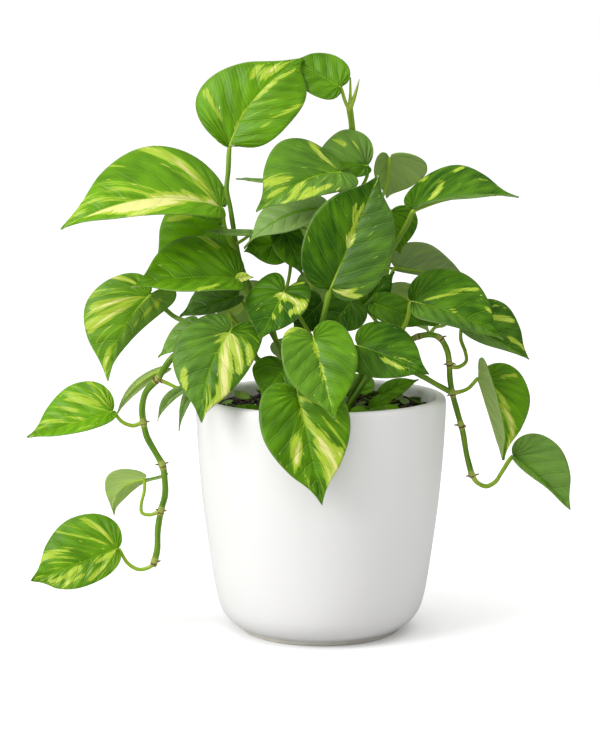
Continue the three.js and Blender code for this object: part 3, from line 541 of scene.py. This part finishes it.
def make_streaks(given):
    """Pale variegation: breaks a soft field up into crisp streaks along the veins, with a yellow-green
    fringe round each cream patch and small flecks between them."""
    away = calc("ABSOLUTE", axis_of(given["Map"], "X") - 0.5)
    shift = add_node(away.tree, "ShaderNodeCombineXYZ", {"Y": away * -STREAK_SLANT, "Z": given["Seed"]})
    own = add_node(away.tree, "ShaderNodeVectorMath", {0: given["Map"], 1: shift}, operation="ADD")
    broad = cloud(stretched(own, 1.6, 20, 1), 1.0, 3, 0.6, 0.4)
    thin = cloud(stretched(own, 2.6, 55, 1), 1.0, 3, 0.6, 0.3)
    fleck = ease(cloud(stretched(own, 10, 60, 1), 1.0, 1, 0.5, 0.3), 0.70, 0.78)
    tear = (broad - 0.5) * 1.1 + (thin - 0.5) * 0.7
    pale = given["Field"] + tear + fleck * given["Flecks"]
    return {
        "Fringe": ease(pale, 0.34, 0.5),
        "Cream": ease(pale, 0.64, 0.84, 0, 0.92),
        "Mottle": thin * 0.3 + broad * 0.7,
    }


GRAIN = shared_effect("surface_grain", ("Place", "Fine Size", "Coarse Size", "Coarse Share"), make_grain)
LEAF_VEINS = shared_effect("leaf_veins", ("Map", "Count", "Waver"), make_veins)
PALE_STREAKS = shared_effect("pale_streaks", ("Map", "Field", "Seed", "Flecks"), make_streaks)


# ---------- materials ----------
def new_material(name):
    material = bpy.data.materials.new(name)
    material.use_nodes = True
    return material, material.node_tree, material.node_tree.nodes["Principled BSDF"]


def dress(shader, colour, roughness, height, depth, strength=1.0):
    """Gives a shader its colour and roughness, and bumps that are depth mm deep."""
    value_at(shader.inputs["Base Color"], colour)
    value_at(shader.inputs["Roughness"], roughness)
    bumps = {"Height": height, "Distance": depth * MM, "Strength": strength}
    value_at(shader.inputs["Normal"], add_node(height.tree, "ShaderNodeBump", bumps))


def grain_of(tree, fine_size, coarse_size, coarse_share):
    sizes = dict(fine_size=fine_size, coarse_size=coarse_size, coarse_share=coarse_share)
    return place_group(tree, GRAIN, place=object_place(tree), **sizes)


def let_light_through(shader, colour, share):
    """Mixes in light from behind, as a thin blade shows it."""
    tree = colour.tree
    glow = add_node(tree, "ShaderNodeBsdfTranslucent", {"Color": colour})
    mixed = add_node(tree, "ShaderNodeMixShader", {0: share, 1: Wire(shader.outputs[0]), 2: glow})
    value_at(tree.nodes["Material Output"].inputs["Surface"], mixed)


def leaf_effects(tree, flecks, *grain):
    """The veins, the pale streaks and the grain of one side of a blade."""
    vein_map = add_node(tree, "ShaderNodeUVMap", uv_map="vein_map")
    veins = place_group(tree, LEAF_VEINS, map=vein_map, count=attribute(tree, "veins"), waver=0.02)
    field, seed = attribute(tree, "pale"), attribute(tree, "seed")
    pale = place_group(tree, PALE_STREAKS, map=vein_map, field=field, seed=seed, flecks=flecks)
    return veins, pale, grain_of(tree, *grain)


def leaf_top_material():
    material, tree, shader = new_material("leaf_upper_side")
    veins, pale, grain = leaf_effects(tree, 0.5, 2600, 60, 0.6)
    # The blade's tone attribute is partly its own green and partly painted shade on blades deep in the plant
    tone = pale["Mottle"] - 0.5 + attribute(tree, "brightness")
    tone = ((grain["Shade"] - 0.5) * 0.25 + tone).clamped()
    colour = layered(
        # Quilting lightens the green between side veins and darkens it in the vein grooves: painted shade of
        # the relief
        blend((veins["Quilt And Shade"] * 0.2 + tone).clamped(), DEEP_GREEN, FRESH_GREEN),
        # bloom layer: partly waxy bloom, partly painted sheen
        (attribute(tree, "bloom"), BLOOM_AND_SHEEN_GREEN),
        (veins["Main"] * 0.16, VEIN_GREEN),
        (veins["Fine"] * 0.08, VEIN_GREEN),
        (pale["Fringe"] * 0.85, LIME),
        (pale["Cream"], CREAM),
        (veins["Midrib"] * 0.55, VEIN_GREEN),
        (veins["Margin"] * 0.25, MARGIN_GREEN),
    )
    height = veins["Main"] * -0.35 + veins["Fine"] * -0.08 + grain["Height"] * 0.06 + veins["Quilt And Shade"]
    dress(shader, colour, pale["Cream"] * 0.06 + grain["Shade"] * 0.08 + 0.36, height, 0.8, 0.95)
    shader.inputs["Specular IOR Level"].default_value = 0.22
    let_light_through(shader, colour, 0.22)
    return material


def leaf_under_material():
    material, tree, shader = new_material("leaf_under_side")
    veins, pale, grain = leaf_effects(tree, 0.2, 2200, 70, 0.5)
    # The same tone, partly own green and partly painted shade, on the underside
    tone = (pale["Mottle"] - 0.5) * 1.8 + attribute(tree, "brightness")
    colour = layered(
        blend(tone.clamped(), UNDER_GREY, UNDER_GREEN),
        (veins["Main"] * 0.6, UNDER_VEIN),
        (veins["Fine"] * 0.2, UNDER_VEIN),
        (veins["Midrib"] * 0.7, UNDER_VEIN),
        (pale["Fringe"] * 0.5, LIME),
        (pale["Cream"] * 0.8, CREAM),
    )
    height = veins["Main"] * 0.5 + grain["Height"] * 0.08 + veins["Quilt And Shade"]
    dress(shader, colour, grain["Shade"] * 0.08 + 0.52, height, 0.35, 0.8)
    shader.inputs["Specular IOR Level"].default_value = 0.25
    let_light_through(shader, colour, 0.42)
    return material


def stem_material():
    """Green skin with paler lengthwise fibres, a yellower joint and a brown corky scar on it."""
    material, tree, shader = new_material("stem_skin")
    fibre, scar = attribute(tree, "fibre", "Vector"), attribute(tree, "scar")
    grain = grain_of(tree, 1800, 90, 0.6)
    lines = cloud(stretched(fibre, 2.4, 2.4, 0.05), 1.0, 4, 0.6)
    patch = cloud(stretched(fibre, 0.5, 0.5, 0.045), 1.0, 2)
    mixed = (patch * 0.5 + lines * 0.5 - 0.5) * 1.6 + attribute(tree, "freshness")
    cork = ease((lines - 0.5) * 0.9 + scar, 0.62, 0.86)
    colour = blend(mixed.clamped(), STEM_DEEP, STEM_FRESH)
    colour = layered(colour, (ease(scar, 0.05, 0.5) * 0.6, STEM_YELLOW), (cork, CORK))
    dress(shader, colour, cork * 0.35 + 0.42, lines + grain["Height"] * 0.25, 0.25, 0.7)
    shader.inputs["Specular IOR Level"].default_value = 0.25
    return material


def glaze_material():
    """White glaze: soft gloss, faint waves and pinholes, and a thin warm edge over the lip."""
    material, tree, shader = new_material("white_glaze")
    place = object_place(tree)
    grain = grain_of(tree, 420, 22, 1.2)
    lip = ease(axis_of(place, "Z"), (POT_HEIGHT - 1.2) * MM, POT_HEIGHT * MM)
    pinholes = ease(cloud(place, 900, 0), 0.78, 0.84)
    colour = blend(grain["Shade"] * 0.25, GLAZE_WHITE, GLAZE_WARM)
    colour = layered(colour, (lip * 0.35, GLAZE_THIN), (pinholes * 0.12, BISQUE))
    dress(shader, colour, grain["Shade"] * 0.08 + 0.34, pinholes * -0.6 + grain["Height"], 0.12, 0.5)
    return material


def bisque_material():
    """Bare fired clay of the foot and the underside: sandy, with faint turning rings."""
    material, tree, shader = new_material("bare_foot_clay")
    place = object_place(tree)
    grain = grain_of(tree, 1500, 120, 0.8)
    flat = {0: stretched(place, 1, 1, 0)}
    radius = add_node(tree, "ShaderNodeVectorMath", flat, "Value", operation="LENGTH")
    rings = calc("SINE", radius * CLAY_RINGS)
    colour = blend(grain["Shade"], BISQUE, BISQUE_DARK)
    dress(shader, colour, grain["Shade"] * 0.1 + 0.78, rings * 0.2 + grain["Height"], 0.2, 0.8)
    return material


def crumb_material(name, dark, light, fine_size, coarse_size, roughness, depth):
    """A rough natural crumb, dark to light over its unevenness."""
    material, tree, shader = new_material(name)
    grain = grain_of(tree, fine_size, coarse_size, 1.0)
    shade = ease(grain["Height"], 0.7, 1.3) * 0.5 + grain["Shade"] * 0.5
    dress(shader, blend(shade, (*dark, 1), (*light, 1)), shade * 0.08 + roughness, grain["Height"], depth)
    return material


def floor_material():
    """White to the camera, and a dimmer grey in the light that it sends up."""
    material, tree, shader = new_material("pale_floor")
    seen = add_node(tree, "ShaderNodeLightPath", None, "Is Camera Ray")
    value_at(shader.inputs["Base Color"], blend(seen, FLOOR_DIM, FLOOR_WHITE))
    shader.inputs["Roughness"].default_value = 0.9
    shader.inputs["Specular IOR Level"].default_value = 0.1
    shader.inputs["Emission Color"].default_value = (1, 1, 1, 1)
    value_at(shader.inputs["Emission Strength"], seen * FLOOR_GLOW)
    return material


LEAF_TOP = leaf_top_material()
LEAF_UNDER = leaf_under_material()
STEM_SKIN = stem_material()
WHITE_GLAZE = glaze_material()
BARE_CLAY = bisque_material()
PEAT = crumb_material("peat", (0.006, 0.004, 0.003), (0.045, 0.026, 0.015), 900, 260, 0.85, 0.9)
BARK = crumb_material("bark_chip", (0.018, 0.009, 0.005), (0.110, 0.055, 0.028), 1400, 300, 0.75, 0.6)
PERLITE = crumb_material("perlite", (0.520, 0.500, 0.450), (0.820, 0.800, 0.750), 2200, 500, 0.8, 0.4)
MOSS = crumb_material("moss", (0.030, 0.060, 0.004), (0.150, 0.210, 0.030), 1600, 400, 0.8, 0.6)
SEEDLING = crumb_material("seedling_leaf", (0.055, 0.130, 0.008), (0.180, 0.300, 0.030), 900, 120, 0.5, 0.2)


# ---------- pieces ----------
def finish_piece(name, bm, materials, stands_for=()):
    """Makes the mesh a smooth-shaded object with the given materials under the root body, and hides the CAD
    nodes that it takes the place of.
    """
    mesh = bpy.data.meshes.new(name)
    bm.to_mesh(mesh)
    bm.free()
    for polygon in mesh.polygons:
        polygon.use_smooth = True
    for material in materials:
        mesh.materials.append(material)
    piece = bpy.data.objects.new(name, mesh)
    bpy.context.scene.collection.objects.link(piece)
    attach(piece, "root")
    if stands_for:
        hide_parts(*stands_for)
    return piece


def side_value(setting, s, standard):
    """A setting may be one number, or one for the left half and one for the right half."""
    if setting is None:
        return standard
    return setting[s] if isinstance(setting, tuple) else setting


def bezier(a, b, c, d, t):
    s = 1 - t
    return s * s * s * a + 3 * s * s * t * b + 3 * s * t * t * c + t * t * t * d


def leaf_frame(leaf):
    base = Vector(leaf["base"])
    along = Vector(leaf["tip"]) - base
    length = along.length
    along.normalize()
    up = Vector(leaf["face"])
    up = (up - along * up.dot(along)).normalized()
    return base, along, up, along.cross(up), length


def margin(leaf, s, q):
    """Margin of a half blade: x in half widths, y in leaf lengths."""
    lobe = side_value(leaf.get("lobe"), s, LOBE)
    wide = side_value(leaf.get("wide"), s, WIDEST)
    point = side_value(leaf.get("point"), s, POINT)
    if q < 0.5:
        t = q / 0.5
        return bezier(0, 0.2, 1, 1, t), bezier(0, -1.25 * lobe, -1.05 * lobe, wide, t)
    t = (q - 0.5) / 0.5
    late = max(0.0, t - 0.5) / 0.5
    pinch = 1 - TIP_PINCH * late * late * (1 - late)
    return bezier(1, 1, point, 0, t) * pinch, bezier(wide, wide + 0.3, 0.84, 1, t)


def vein_count(leaf):
    """Side veins on each half of a blade, fewer on a small one."""
    length = (Vector(leaf["tip"]) - Vector(leaf["base"])).length
    return max(6, min(14, round((length + max(leaf["half"]) * 0.5) / VEIN_GAP)))


def blade_point(leaf, blade_frame, side, q, lift=0.0, wave=(0.0, 0.0)):
    """A point of the blade in millimetres. lift is along the blade's upper side."""
    base, along, up, across, length = blade_frame
    w = abs(side)
    s = 0 if side < 0 else 1
    half = leaf["half"][s]
    mx, my = margin(leaf, s, q)
    start = my - VEIN_SLANT * mx * half / length
    vein = (start + math.hypot(start, VEIN_EASE)) / 2 + VEIN_CREEP * q * (1 - q)
    u = mx * half * w
    v = vein * (1 - w) + my * w
    bend = 4 * v * (1 + v if v < 0 else 1 - v)
    fold = side_value(leaf.get("fold"), s, 0)
    out = math.copysign(1, side)
    dome = DOME * half * mx * math.sin(math.pi * min(w, 1))
    groove = GROOVE_DEPTH * math.exp(-((u / GROOVE_WIDTH) ** 2)) * max(0.0, 1 - 0.8 * v)
    size = min(1, half / 20)
    quilt = QUILT_HEIGHT * -math.cos(math.tau * vein_count(leaf) * q) * math.sin(math.pi * w) * size
    ripple = leaf.get("ripple", 1) * RIPPLE * size * w**3 * math.sin(wave[0] + wave[1] * q + out)
    sheet = lift + dome - groove + quilt + ripple
    x = out * (u * math.cos(fold) - sheet * math.sin(fold))
    z = u * math.sin(fold) + sheet * math.cos(fold)
    return (
        base
        + along * (v * length)
        + across * (x + leaf.get("sweep", 0) * length * bend)
        + up * (z + leaf.get("arch", 0) * length * bend)
    )


def paleness(streaks, side, q):
    """How far inside a pale streak a place on the blade is. A streak is a stroke between two places."""
    best = 0.0
    here = Vector((side * STREAK_ACROSS, q))
    for side_a, q_a, side_b, q_b, reach, strength in streaks:
        a, b = Vector((side_a * STREAK_ACROSS, q_a)), Vector((side_b * STREAK_ACROSS, q_b))
        run = b - a
        t = max(0.0, min(1.0, (here - a).dot(run) / max(run.length_squared, 1e-9)))
        distance = (here - a - run * t).length
        fall = math.exp(-0.7 * (distance / (reach * STREAK_SPREAD)) ** 2)
        best = max(best, strength * STREAK_STRENGTH * fall)
    return best


def make_leaf(name, leaf, number):
    rng = random.Random(SEED + number)
    wave = (rng.uniform(0, math.tau), rng.uniform(9, 15))
    blade_frame = leaf_frame(leaf)
    bm = bmesh.new()
    bmesh.ops.create_grid(bm, x_segments=LEAF_COLUMNS, y_segments=LEAF_ROWS, size=1)
    vein_map = bm.loops.layers.uv.new("vein_map")
    pale, bright, seed, veins, bloom = (
        bm.verts.layers.float.new(layer) for layer in ("pale", "brightness", "seed", "veins", "bloom")
    )
    places = {}
    for vert in bm.verts:
        side = math.copysign(abs(vert.co.x) ** COLUMN_CROWDING, vert.co.x)
        q = MARGIN_START + (1 - MARGIN_START) * (vert.co.y + 1) / 2
        places[vert] = (side, q)
        vert[pale] = paleness(STREAKS.get(name, ()), side, q)
        # tone: partly the blade's own green, partly painted shade
        vert[bright] = leaf.get("bright", YOUNG_TONE_AND_SHADE)
        vert[seed] = number * SEED_STEP
        vert[veins] = vein_count(leaf)
        # per-half bloom share: partly waxy bloom, partly painted sheen
        vert[bloom] = leaf.get("bloom", (0, 0))[side >= 0] * min(1, abs(side) * 6)
    for face in bm.faces:
        for loop in face.loops:
            side, q = places[loop.vert]
            loop[vein_map].uv = ((side + 1) / 2, q)
    for vert, (side, q) in places.items():
        vert.co = blade_point(leaf, blade_frame, side, q, BLADE_THICKNESS / 2, wave) * MM
    bmesh.ops.remove_doubles(bm, verts=bm.verts, dist=MERGE_DISTANCE * MM)
    stands_for = ["leaf_" + name] if name in LEAVES else []
    piece = finish_piece("blade_" + name, bm, [LEAF_TOP, LEAF_UNDER], stands_for)
    sheet = piece.modifiers.new("blade thickness", "SOLIDIFY")
    sheet.thickness = BLADE_THICKNESS * MM
    sheet.offset = -1
    sheet.material_offset = 1
    return piece


# ---------- stems ----------
def smooth_path(points, step):
    """Points about every step along a centripetal Catmull-Rom curve that runs through points."""
    points = [Vector(p) for p in points]
    ends = [points[0] * 2 - points[1], *points, points[-1] * 2 - points[-2]]
    made = [points[0]]
    for a, b, c, d in zip(ends, ends[1:], ends[2:], ends[3:]):
        before, here, after = (max((q - p).length, 1e-6) ** 0.5 for p, q in ((a, b), (b, c), (c, d)))
        leave = ((b - a) / before - (c - a) / (before + here) + (c - b) / here) * here
        arrive = ((c - b) / here - (d - b) / (here + after) + (d - c) / after) * here
        count = max(2, round((c - b).length / step))
        for k in range(1, count + 1):
            t = k / count
            made.append(
                b + leave * t + (c * 3 - b * 3 - leave * 2 - arrive) * t**2
                + (b * 2 - c * 2 + leave + arrive) * t**3
            )
    return made


def distances(path):
    """How far along the path each of its points is."""
    far = [0.0]
    for a, b in zip(path, path[1:]):
        far.append(far[-1] + (b - a).length)
    return far


class StemMesh:
    """One stem piece: tubes along paths, with what their material reads stored at each vertex."""

    def __init__(self, number):
        self.bm = bmesh.new()
        self.fibre = self.bm.verts.layers.float_vector.new("fibre")
        self.scar = self.bm.verts.layers.float.new("scar")
        self.fresh = self.bm.verts.layers.float.new("freshness")
        self.rng = random.Random(SEED * 100 + number)

    def tube(self, path, radius_at, freshness_at, scar_at, sides=STEM_SIDES):
        """A closed tube along path. The three functions take a share of the way and a distance in mm."""
        far = distances(path)
        rows = len(path)
        made = bmesh.ops.create_grid(self.bm, x_segments=sides, y_segments=rows + 1, size=1)["verts"]
        aims = [(path[min(i + 1, rows - 1)] - path[max(i - 1, 0)]).normalized() for i in range(rows)]
        side = aims[0].orthogonal().normalized()
        rings = []
        for aim in aims:
            side = (side - aim * side.dot(aim)).normalized()
            rings.append((side.copy(), aim.cross(side)))
        shift = self.rng.uniform(0, 500)
        for vert in made:
            angle = math.pi * (vert.co.x + 1)
            row = round((vert.co.y + 1) / 2 * (rows + 1)) - 1
            at = max(0, min(rows - 1, row))
            share = far[at] / far[-1]
            first, second = rings[at]
            turn = first * math.cos(angle) + second * math.sin(angle)
            radius = 0 if row != at else radius_at(share, far[at])
            vert.co = path[at] + turn * radius
            vert[self.fibre] = (math.cos(angle), math.sin(angle), far[at] + shift)
            vert[self.scar] = scar_at(share, far[at])
            vert[self.fresh] = freshness_at(share, far[at])
        for vert in made:
            vert.co *= MM
        bmesh.ops.remove_doubles(self.bm, verts=made, dist=TUBE_MERGE_DISTANCE * MM)

    def stub(self, foot, way):
        """A short brown root stub at a joint."""
        way = Vector(way).normalized()
        reach = self.rng.uniform(3.3, 4.4)
        bent = (way + Vector([self.rng.uniform(-0.35, 0.35) for _ in range(3)])).normalized()
        path = smooth_path([foot, foot + way * reach * 0.55, foot + (way + bent) * reach / 2], 0.5)
        self.tube(path, lambda share, far: 1.0 - 0.7 * share, lambda share, far: 0.4,
                  lambda share, far: 0.3 + 0.9 * share, STUB_SIDES)


def ring_scar(far, joints):
    """A brown double ring just beyond each joint, over a yellower swelling."""
    value = 0.0
    for joint in joints:
        d = far - joint
        value = max(value, 0.45 * math.exp(-((d / 3.2) ** 2)), 1.1 * math.exp(-(((d - 1.5) / 0.5) ** 2)),
                    0.8 * math.exp(-(((d + 1.3) / 0.35) ** 2)))
    return value


def joint_distances(path, far, scars):
    """How far along the path the joints that lie on it are."""
    found = set()
    for place, *_ in scars:
        gap, distance = min(((point - Vector(place)).length, d) for point, d in zip(path, far))
        if gap < JOINT_REACH:
            found.add(round(distance, 1))
    return sorted(found)


def rib_points(leaf):
    """The line of a blade's midrib along its underside, from near the base to near the tip."""
    blade_frame = leaf_frame(leaf)
    up = blade_frame[2]
    points = []
    for share in (0.03, 0.14, 0.28, 0.45, 0.62, 0.8):
        base, along, _, across, length = blade_frame
        bend = 4 * share * (1 - share)
        point = base + along * (share * length) + across * (leaf.get("sweep", 0) * length * bend)
        point += up * (leaf.get("arch", 0) * length * bend)
        points.append(point - up * (BLADE_THICKNESS + GROOVE_DEPTH * (1 - 0.8 * share)))
    return points


def make_stem(name, branches, number):
    mesh = StemMesh(number)
    scars = SCARS.get(name, [])
    for index, branch in enumerate(branches):
        points = [Vector(p) for p in branch["path"]]
        leaf = LEAVES.get(branch["leaf"])
        trunk = index == 0 or branch["path"][0][2] == STEM_START
        if leaf:
            points.append(Vector(leaf["base"]) - leaf_frame(leaf)[2] * (branch["radius"] * 0.8 + 0.2))
        petiole_length = distances(points)[-1]
        if leaf:
            points += rib_points(leaf)
        path = smooth_path(points, STEM_STEP)
        far = distances(path)
        reach = petiole_length / far[-1] if leaf else 1.0
        joints = joint_distances(path, far, scars) if trunk else []
        radius = branch["radius"]
        bulge = mesh.rng.uniform(0.85, 1.15)

        def radius_at(share, d):
            size = radius
            if share > reach:
                late = (share - reach) / (1 - reach)
                size = radius * (0.95 - 0.83 * late**0.6)
            size *= 1 + (branch.get("end", 1) - 1) * share * share
            if not trunk:
                size *= 1 + 0.45 * bulge * math.exp(-d / 4.5)
            for joint in joints:
                size *= 1 + JOINT_SWELL * math.exp(-(((d - joint) / JOINT_REACH) ** 2))
            return size * (1 + 0.04 * math.sin(d * 0.35 + bulge * 40))

        def freshness_at(share, d):
            if share > reach:
                return 0.9
            near_blade = math.exp(-(reach - share) * far[-1] / 9) if leaf else 0
            young = branch.get("fresh", 0) * share**3
            return (0.22 + young if trunk else 0.55 + 0.3 * math.exp(-d / 8)) + 0.4 * near_blade

        def scar_at(share, d):
            start = 0.42 * math.exp(-((d / 6) ** 2)) if not trunk else 0.0
            return max(start, ring_scar(d, joints))

        mesh.tube(path, radius_at, freshness_at, scar_at)
    for place, *ways in scars:
        for way in ways:
            mesh.stub(Vector(place), way)
    bmesh.ops.recalc_face_normals(mesh.bm, faces=mesh.bm.faces)
    return finish_piece(name + "_skin", mesh.bm, [STEM_SKIN], [name])


# ---------- pot and soil ----------
# Profiles of (radius, height) in mm: the wall from the foot up to the lip, from the lip down to the floor,
# the foot's rounded edge as steps out from its radius, and the soil's side
OUTER_WALL = [
    (50.4, 3.3), (53.5, 4.6), (58, 8.8), (61.2, 14), (63.6, 22), (65.8, 34), (68.4, 52), (71.4, 75),
    (73.4, 95), (75, 117), (75.9, 136), (76, 140.4), (75.3, 142.7), (73.6, 143.8), (72.2, 144),
    (70.8, 143.6), (69.6, 142.2), (69.1, 140),
]
INNER_WALL = [(69.1, 140), (67.6, 117), (64, 75), (61, 52), (57, 25), (50, 13), (42, FLOOR_THICKNESS)]
FOOT_EDGE = [(-1.6, 0), (-0.7, 0.2), (-0.2, 0.8), (0, FOOT_HEIGHT - 0.4), (0.3, FOOT_HEIGHT)]
SOIL_SIDE = [(41.4, 9.4), (49.2, 13.6), (56.4, 25.4), (60.4, 52), (63.4, 75), (67.1, 117), (SOIL_RADIUS, 134)]
SOIL_RING_GAP, SOIL_RINGS = 1.1, 61
POT_STEP, WALL_STEP, SOIL_STEP = 1.6, 6, 8


def spun(profile, steps):
    """A closed body of revolution of a profile of (radius, height) in mm that starts and ends on the axis."""
    bm = bmesh.new()
    verts = [bm.verts.new((r * MM, 0, z * MM)) for r, z in profile]
    edges = [bm.edges.new(pair) for pair in zip(verts, verts[1:])]
    bmesh.ops.spin(
        bm, geom=verts + edges, cent=(0, 0, 0), axis=(0, 0, 1), dvec=(0, 0, 0), angle=math.tau, steps=steps,
        use_merge=True, use_duplicate=False,
    )
    bmesh.ops.remove_doubles(bm, verts=bm.verts, dist=SPIN_MERGE_DISTANCE * MM)
    bmesh.ops.recalc_face_normals(bm, faces=bm.faces)
    return bm


def flat_curve(points, step):
    return [(p.x, p.z) for p in smooth_path([(r, 0, z) for r, z in points], step)]


def make_pot():
    outer = flat_curve(OUTER_WALL, POT_STEP)
    inner = flat_curve(INNER_WALL, WALL_STEP)
    foot = [(0, 0), (20, 0), (34, 0)] + [(FOOT_RADIUS + out, z) for out, z in FOOT_EDGE]
    bm = spun(foot + outer + inner[1:] + [(20, FLOOR_THICKNESS), (0, FLOOR_THICKNESS)], POT_STEPS)
    for face in bm.faces:
        face.material_index = 1 if face.calc_center_median().z < (FOOT_HEIGHT + 0.1) * MM else 0
    return finish_piece("glazed_shell", bm, [WHITE_GLAZE, BARE_CLAY], ["pot"])


def soil_height(x, y):
    """Height of the loose surface above its mean level, in mm."""
    here = Vector((x, y, 3.1))
    lumps = noise.noise(here * 0.06) * 2.2 + noise.noise(here * 0.2) * 1.3 + noise.noise(here * 0.6) * 0.5
    return lumps - 1.2


def make_soil():
    wall = flat_curve(SOIL_SIDE, SOIL_STEP)
    top = [(SOIL_RADIUS - SOIL_RING_GAP * ring, SOIL_LEVEL) for ring in range(1, SOIL_RINGS + 1)]
    bm = spun([(0, SOIL_SIDE[0][1])] + wall + top + [(0, SOIL_LEVEL)], POT_STEPS)
    for vert in bm.verts:
        if vert.co.z > (SOIL_LEVEL - 0.1) * MM:
            vert.co.z += soil_height(vert.co.x / MM, vert.co.y / MM) * MM
    return finish_piece("potting_mix", bm, [PEAT], ["soil"])


def scatter(name, material, count, make_one, sizes, sink, seed):
    """Many small bits lying on the soil, joined as one piece."""
    rng = random.Random(seed)
    bm = bmesh.new()
    for _ in range(count):
        angle, radius = rng.uniform(0, math.tau), SCATTER_RADIUS * math.sqrt(rng.random())
        size = rng.uniform(*sizes)
        radius = min(radius, SCATTER_RADIUS + 0.4 - size)
        x, y = radius * math.cos(angle), radius * math.sin(angle)
        turn = Matrix.Rotation(rng.uniform(0, math.tau), 4, "Z") @ Matrix.Rotation(rng.gauss(0, 0.35), 4, "X")
        place = Matrix.Translation((x * MM, y * MM, (SOIL_LEVEL + soil_height(x, y) + size * sink) * MM))
        verts = make_one(bm, rng, size)
        bmesh.ops.transform(bm, matrix=place @ turn, verts=verts)
    bmesh.ops.recalc_face_normals(bm, faces=bm.faces)
    return finish_piece(name, bm, [material])


def chip(bm, rng, size):
    verts = bmesh.ops.create_cube(bm, size=1)["verts"]
    shape = Vector((size, size * rng.uniform(0.4, 0.8), size * rng.uniform(0.15, 0.4))) * MM
    for vert in verts:
        vert.co = Vector([c * s * rng.uniform(0.7, 1.1) for c, s in zip(vert.co, shape)])
    edges = list({edge for vert in verts for edge in vert.link_edges})
    cut = bmesh.ops.bevel(
        bm, geom=edges, offset=0.12 * size * MM, offset_type="OFFSET", segments=1, profile=0.5,
        affect="EDGES", material=-1,
    )
    return list({vert for face in cut["faces"] for vert in face.verts})


def crumb(bm, rng, size):
    verts = bmesh.ops.create_icosphere(bm, subdivisions=1, radius=size / 2 * MM)["verts"]
    for vert in verts:
        vert.co *= rng.uniform(0.75, 1.2)
    return verts


def leaflet(bm, rng, size):
    """A small round seedling leaf, cupped like a shallow spoon."""
    verts = bmesh.ops.create_uvsphere(bm, u_segments=10, v_segments=6, radius=size / 2 * MM)["verts"]
    for vert in verts:
        away = vert.co.xy.length_squared / MM
        vert.co = Vector((vert.co.x, vert.co.y * 0.8, vert.co.z * 0.14 + away * 0.06 + vert.co.x * 0.3))
    return verts


for number, (name, leaf) in enumerate(LEAVES.items()):
    make_leaf(name, leaf, number)
for number, (name, leaf) in enumerate(LOW_LEAVES.items(), len(LEAVES)):
    make_leaf(name, leaf, number)
for number, (name, branches) in enumerate(STEMS.items()):
    make_stem(name, branches, number)
make_pot()
make_soil()
# Loose bits: piece, material, count, maker, smallest and largest size in mm, and how high they lie
LOOSE_BITS = [
    ("bark_chips", BARK, 420, chip, (2.0, 6.5), 0.12),
    ("peat_crumbs", PEAT, 700, crumb, (1.0, 3.2), 0.25),
    ("perlite_specks", PERLITE, 26, crumb, (1.0, 2.2), 0.2),
    ("moss_tufts", MOSS, 90, crumb, (1.2, 3.4), 0.3),
    ("seedling_leaves", SEEDLING, 60, leaflet, (5.0, 11.0), 0.3),
]
for number, bits in enumerate(LOOSE_BITS):
    scatter(*bits, SEED + number)


# ---------- floor, light and camera ----------
def make_floor():
    bm = bmesh.new()
    bmesh.ops.create_circle(bm, cap_ends=True, radius=40, segments=64)
    mesh = bpy.data.meshes.new("pale_floor")
    bm.to_mesh(mesh)
    bm.free()
    mesh.materials.append(floor_material())
    plane = bpy.data.objects.new("pale_floor", mesh)
    bpy.context.scene.collection.objects.link(plane)


def add_light(name, place, target, size, power, gloss_only=False):
    light = bpy.data.lights.new(name, "AREA")
    light.shape = "DISK"
    light.size = size
    light.energy = power
    lamp = bpy.data.objects.new(name, light)
    lamp.location = place
    lamp.rotation_euler = (Vector(target) - Vector(place)).to_track_quat("-Z", "Y").to_euler()
    lamp.visible_diffuse = not gloss_only
    lamp.visible_transmission = not gloss_only
    bpy.context.scene.collection.objects.link(lamp)


def set_world(fill, top):
    """Fill light that grows from the horizon to the zenith, and a white backdrop for the camera."""
    world = bpy.data.worlds.new("studio")
    bpy.context.scene.world = world
    world.use_nodes = True
    tree = world.node_tree
    path = wires(tree.nodes.new("ShaderNodeLightPath").outputs)
    seen, shiny = path["Is Camera Ray"], path["Is Glossy Ray"]
    rise = axis_of(add_node(tree, "ShaderNodeTexCoord", None, "Generated"), "Z")
    sky = (calc("MAXIMUM", rise, 0.0) * (top - fill) + fill) * (shiny * (SKY_IN_GLOSS - 1) + 1.0)
    background = tree.nodes["Background"]
    value_at(background.inputs["Strength"], sky * calc("SUBTRACT", 1.0, seen) + seen)
    background.inputs["Color"].default_value = (1, 1, 1, 1)


make_floor()
set_world(SKY_FILL, SKY_TOP)
add_light("key", place=(-1.9, -1.3, 1.5), target=(0, 0, 0.12), size=1.5, power=44)
add_light("sheen", place=(-1.5, -1.2, 1.5), target=(0.02, 0, 0.2), size=1.1, power=22, gloss_only=True)
bpy.context.scene.view_settings.view_transform = "Standard"
bpy.context.scene.view_settings.look = "None"

camera = bpy.data.cameras.new("camera")
camera.lens = 104
camera.sensor_width = 36
viewpoint = bpy.data.objects.new("camera", camera)
viewpoint.location = (-0.0126, -1.3, 0.3376)
viewpoint.rotation_euler = (math.radians(82.04), 0, 0)
bpy.context.scene.collection.objects.link(viewpoint)
bpy.context.scene.camera = viewpoint
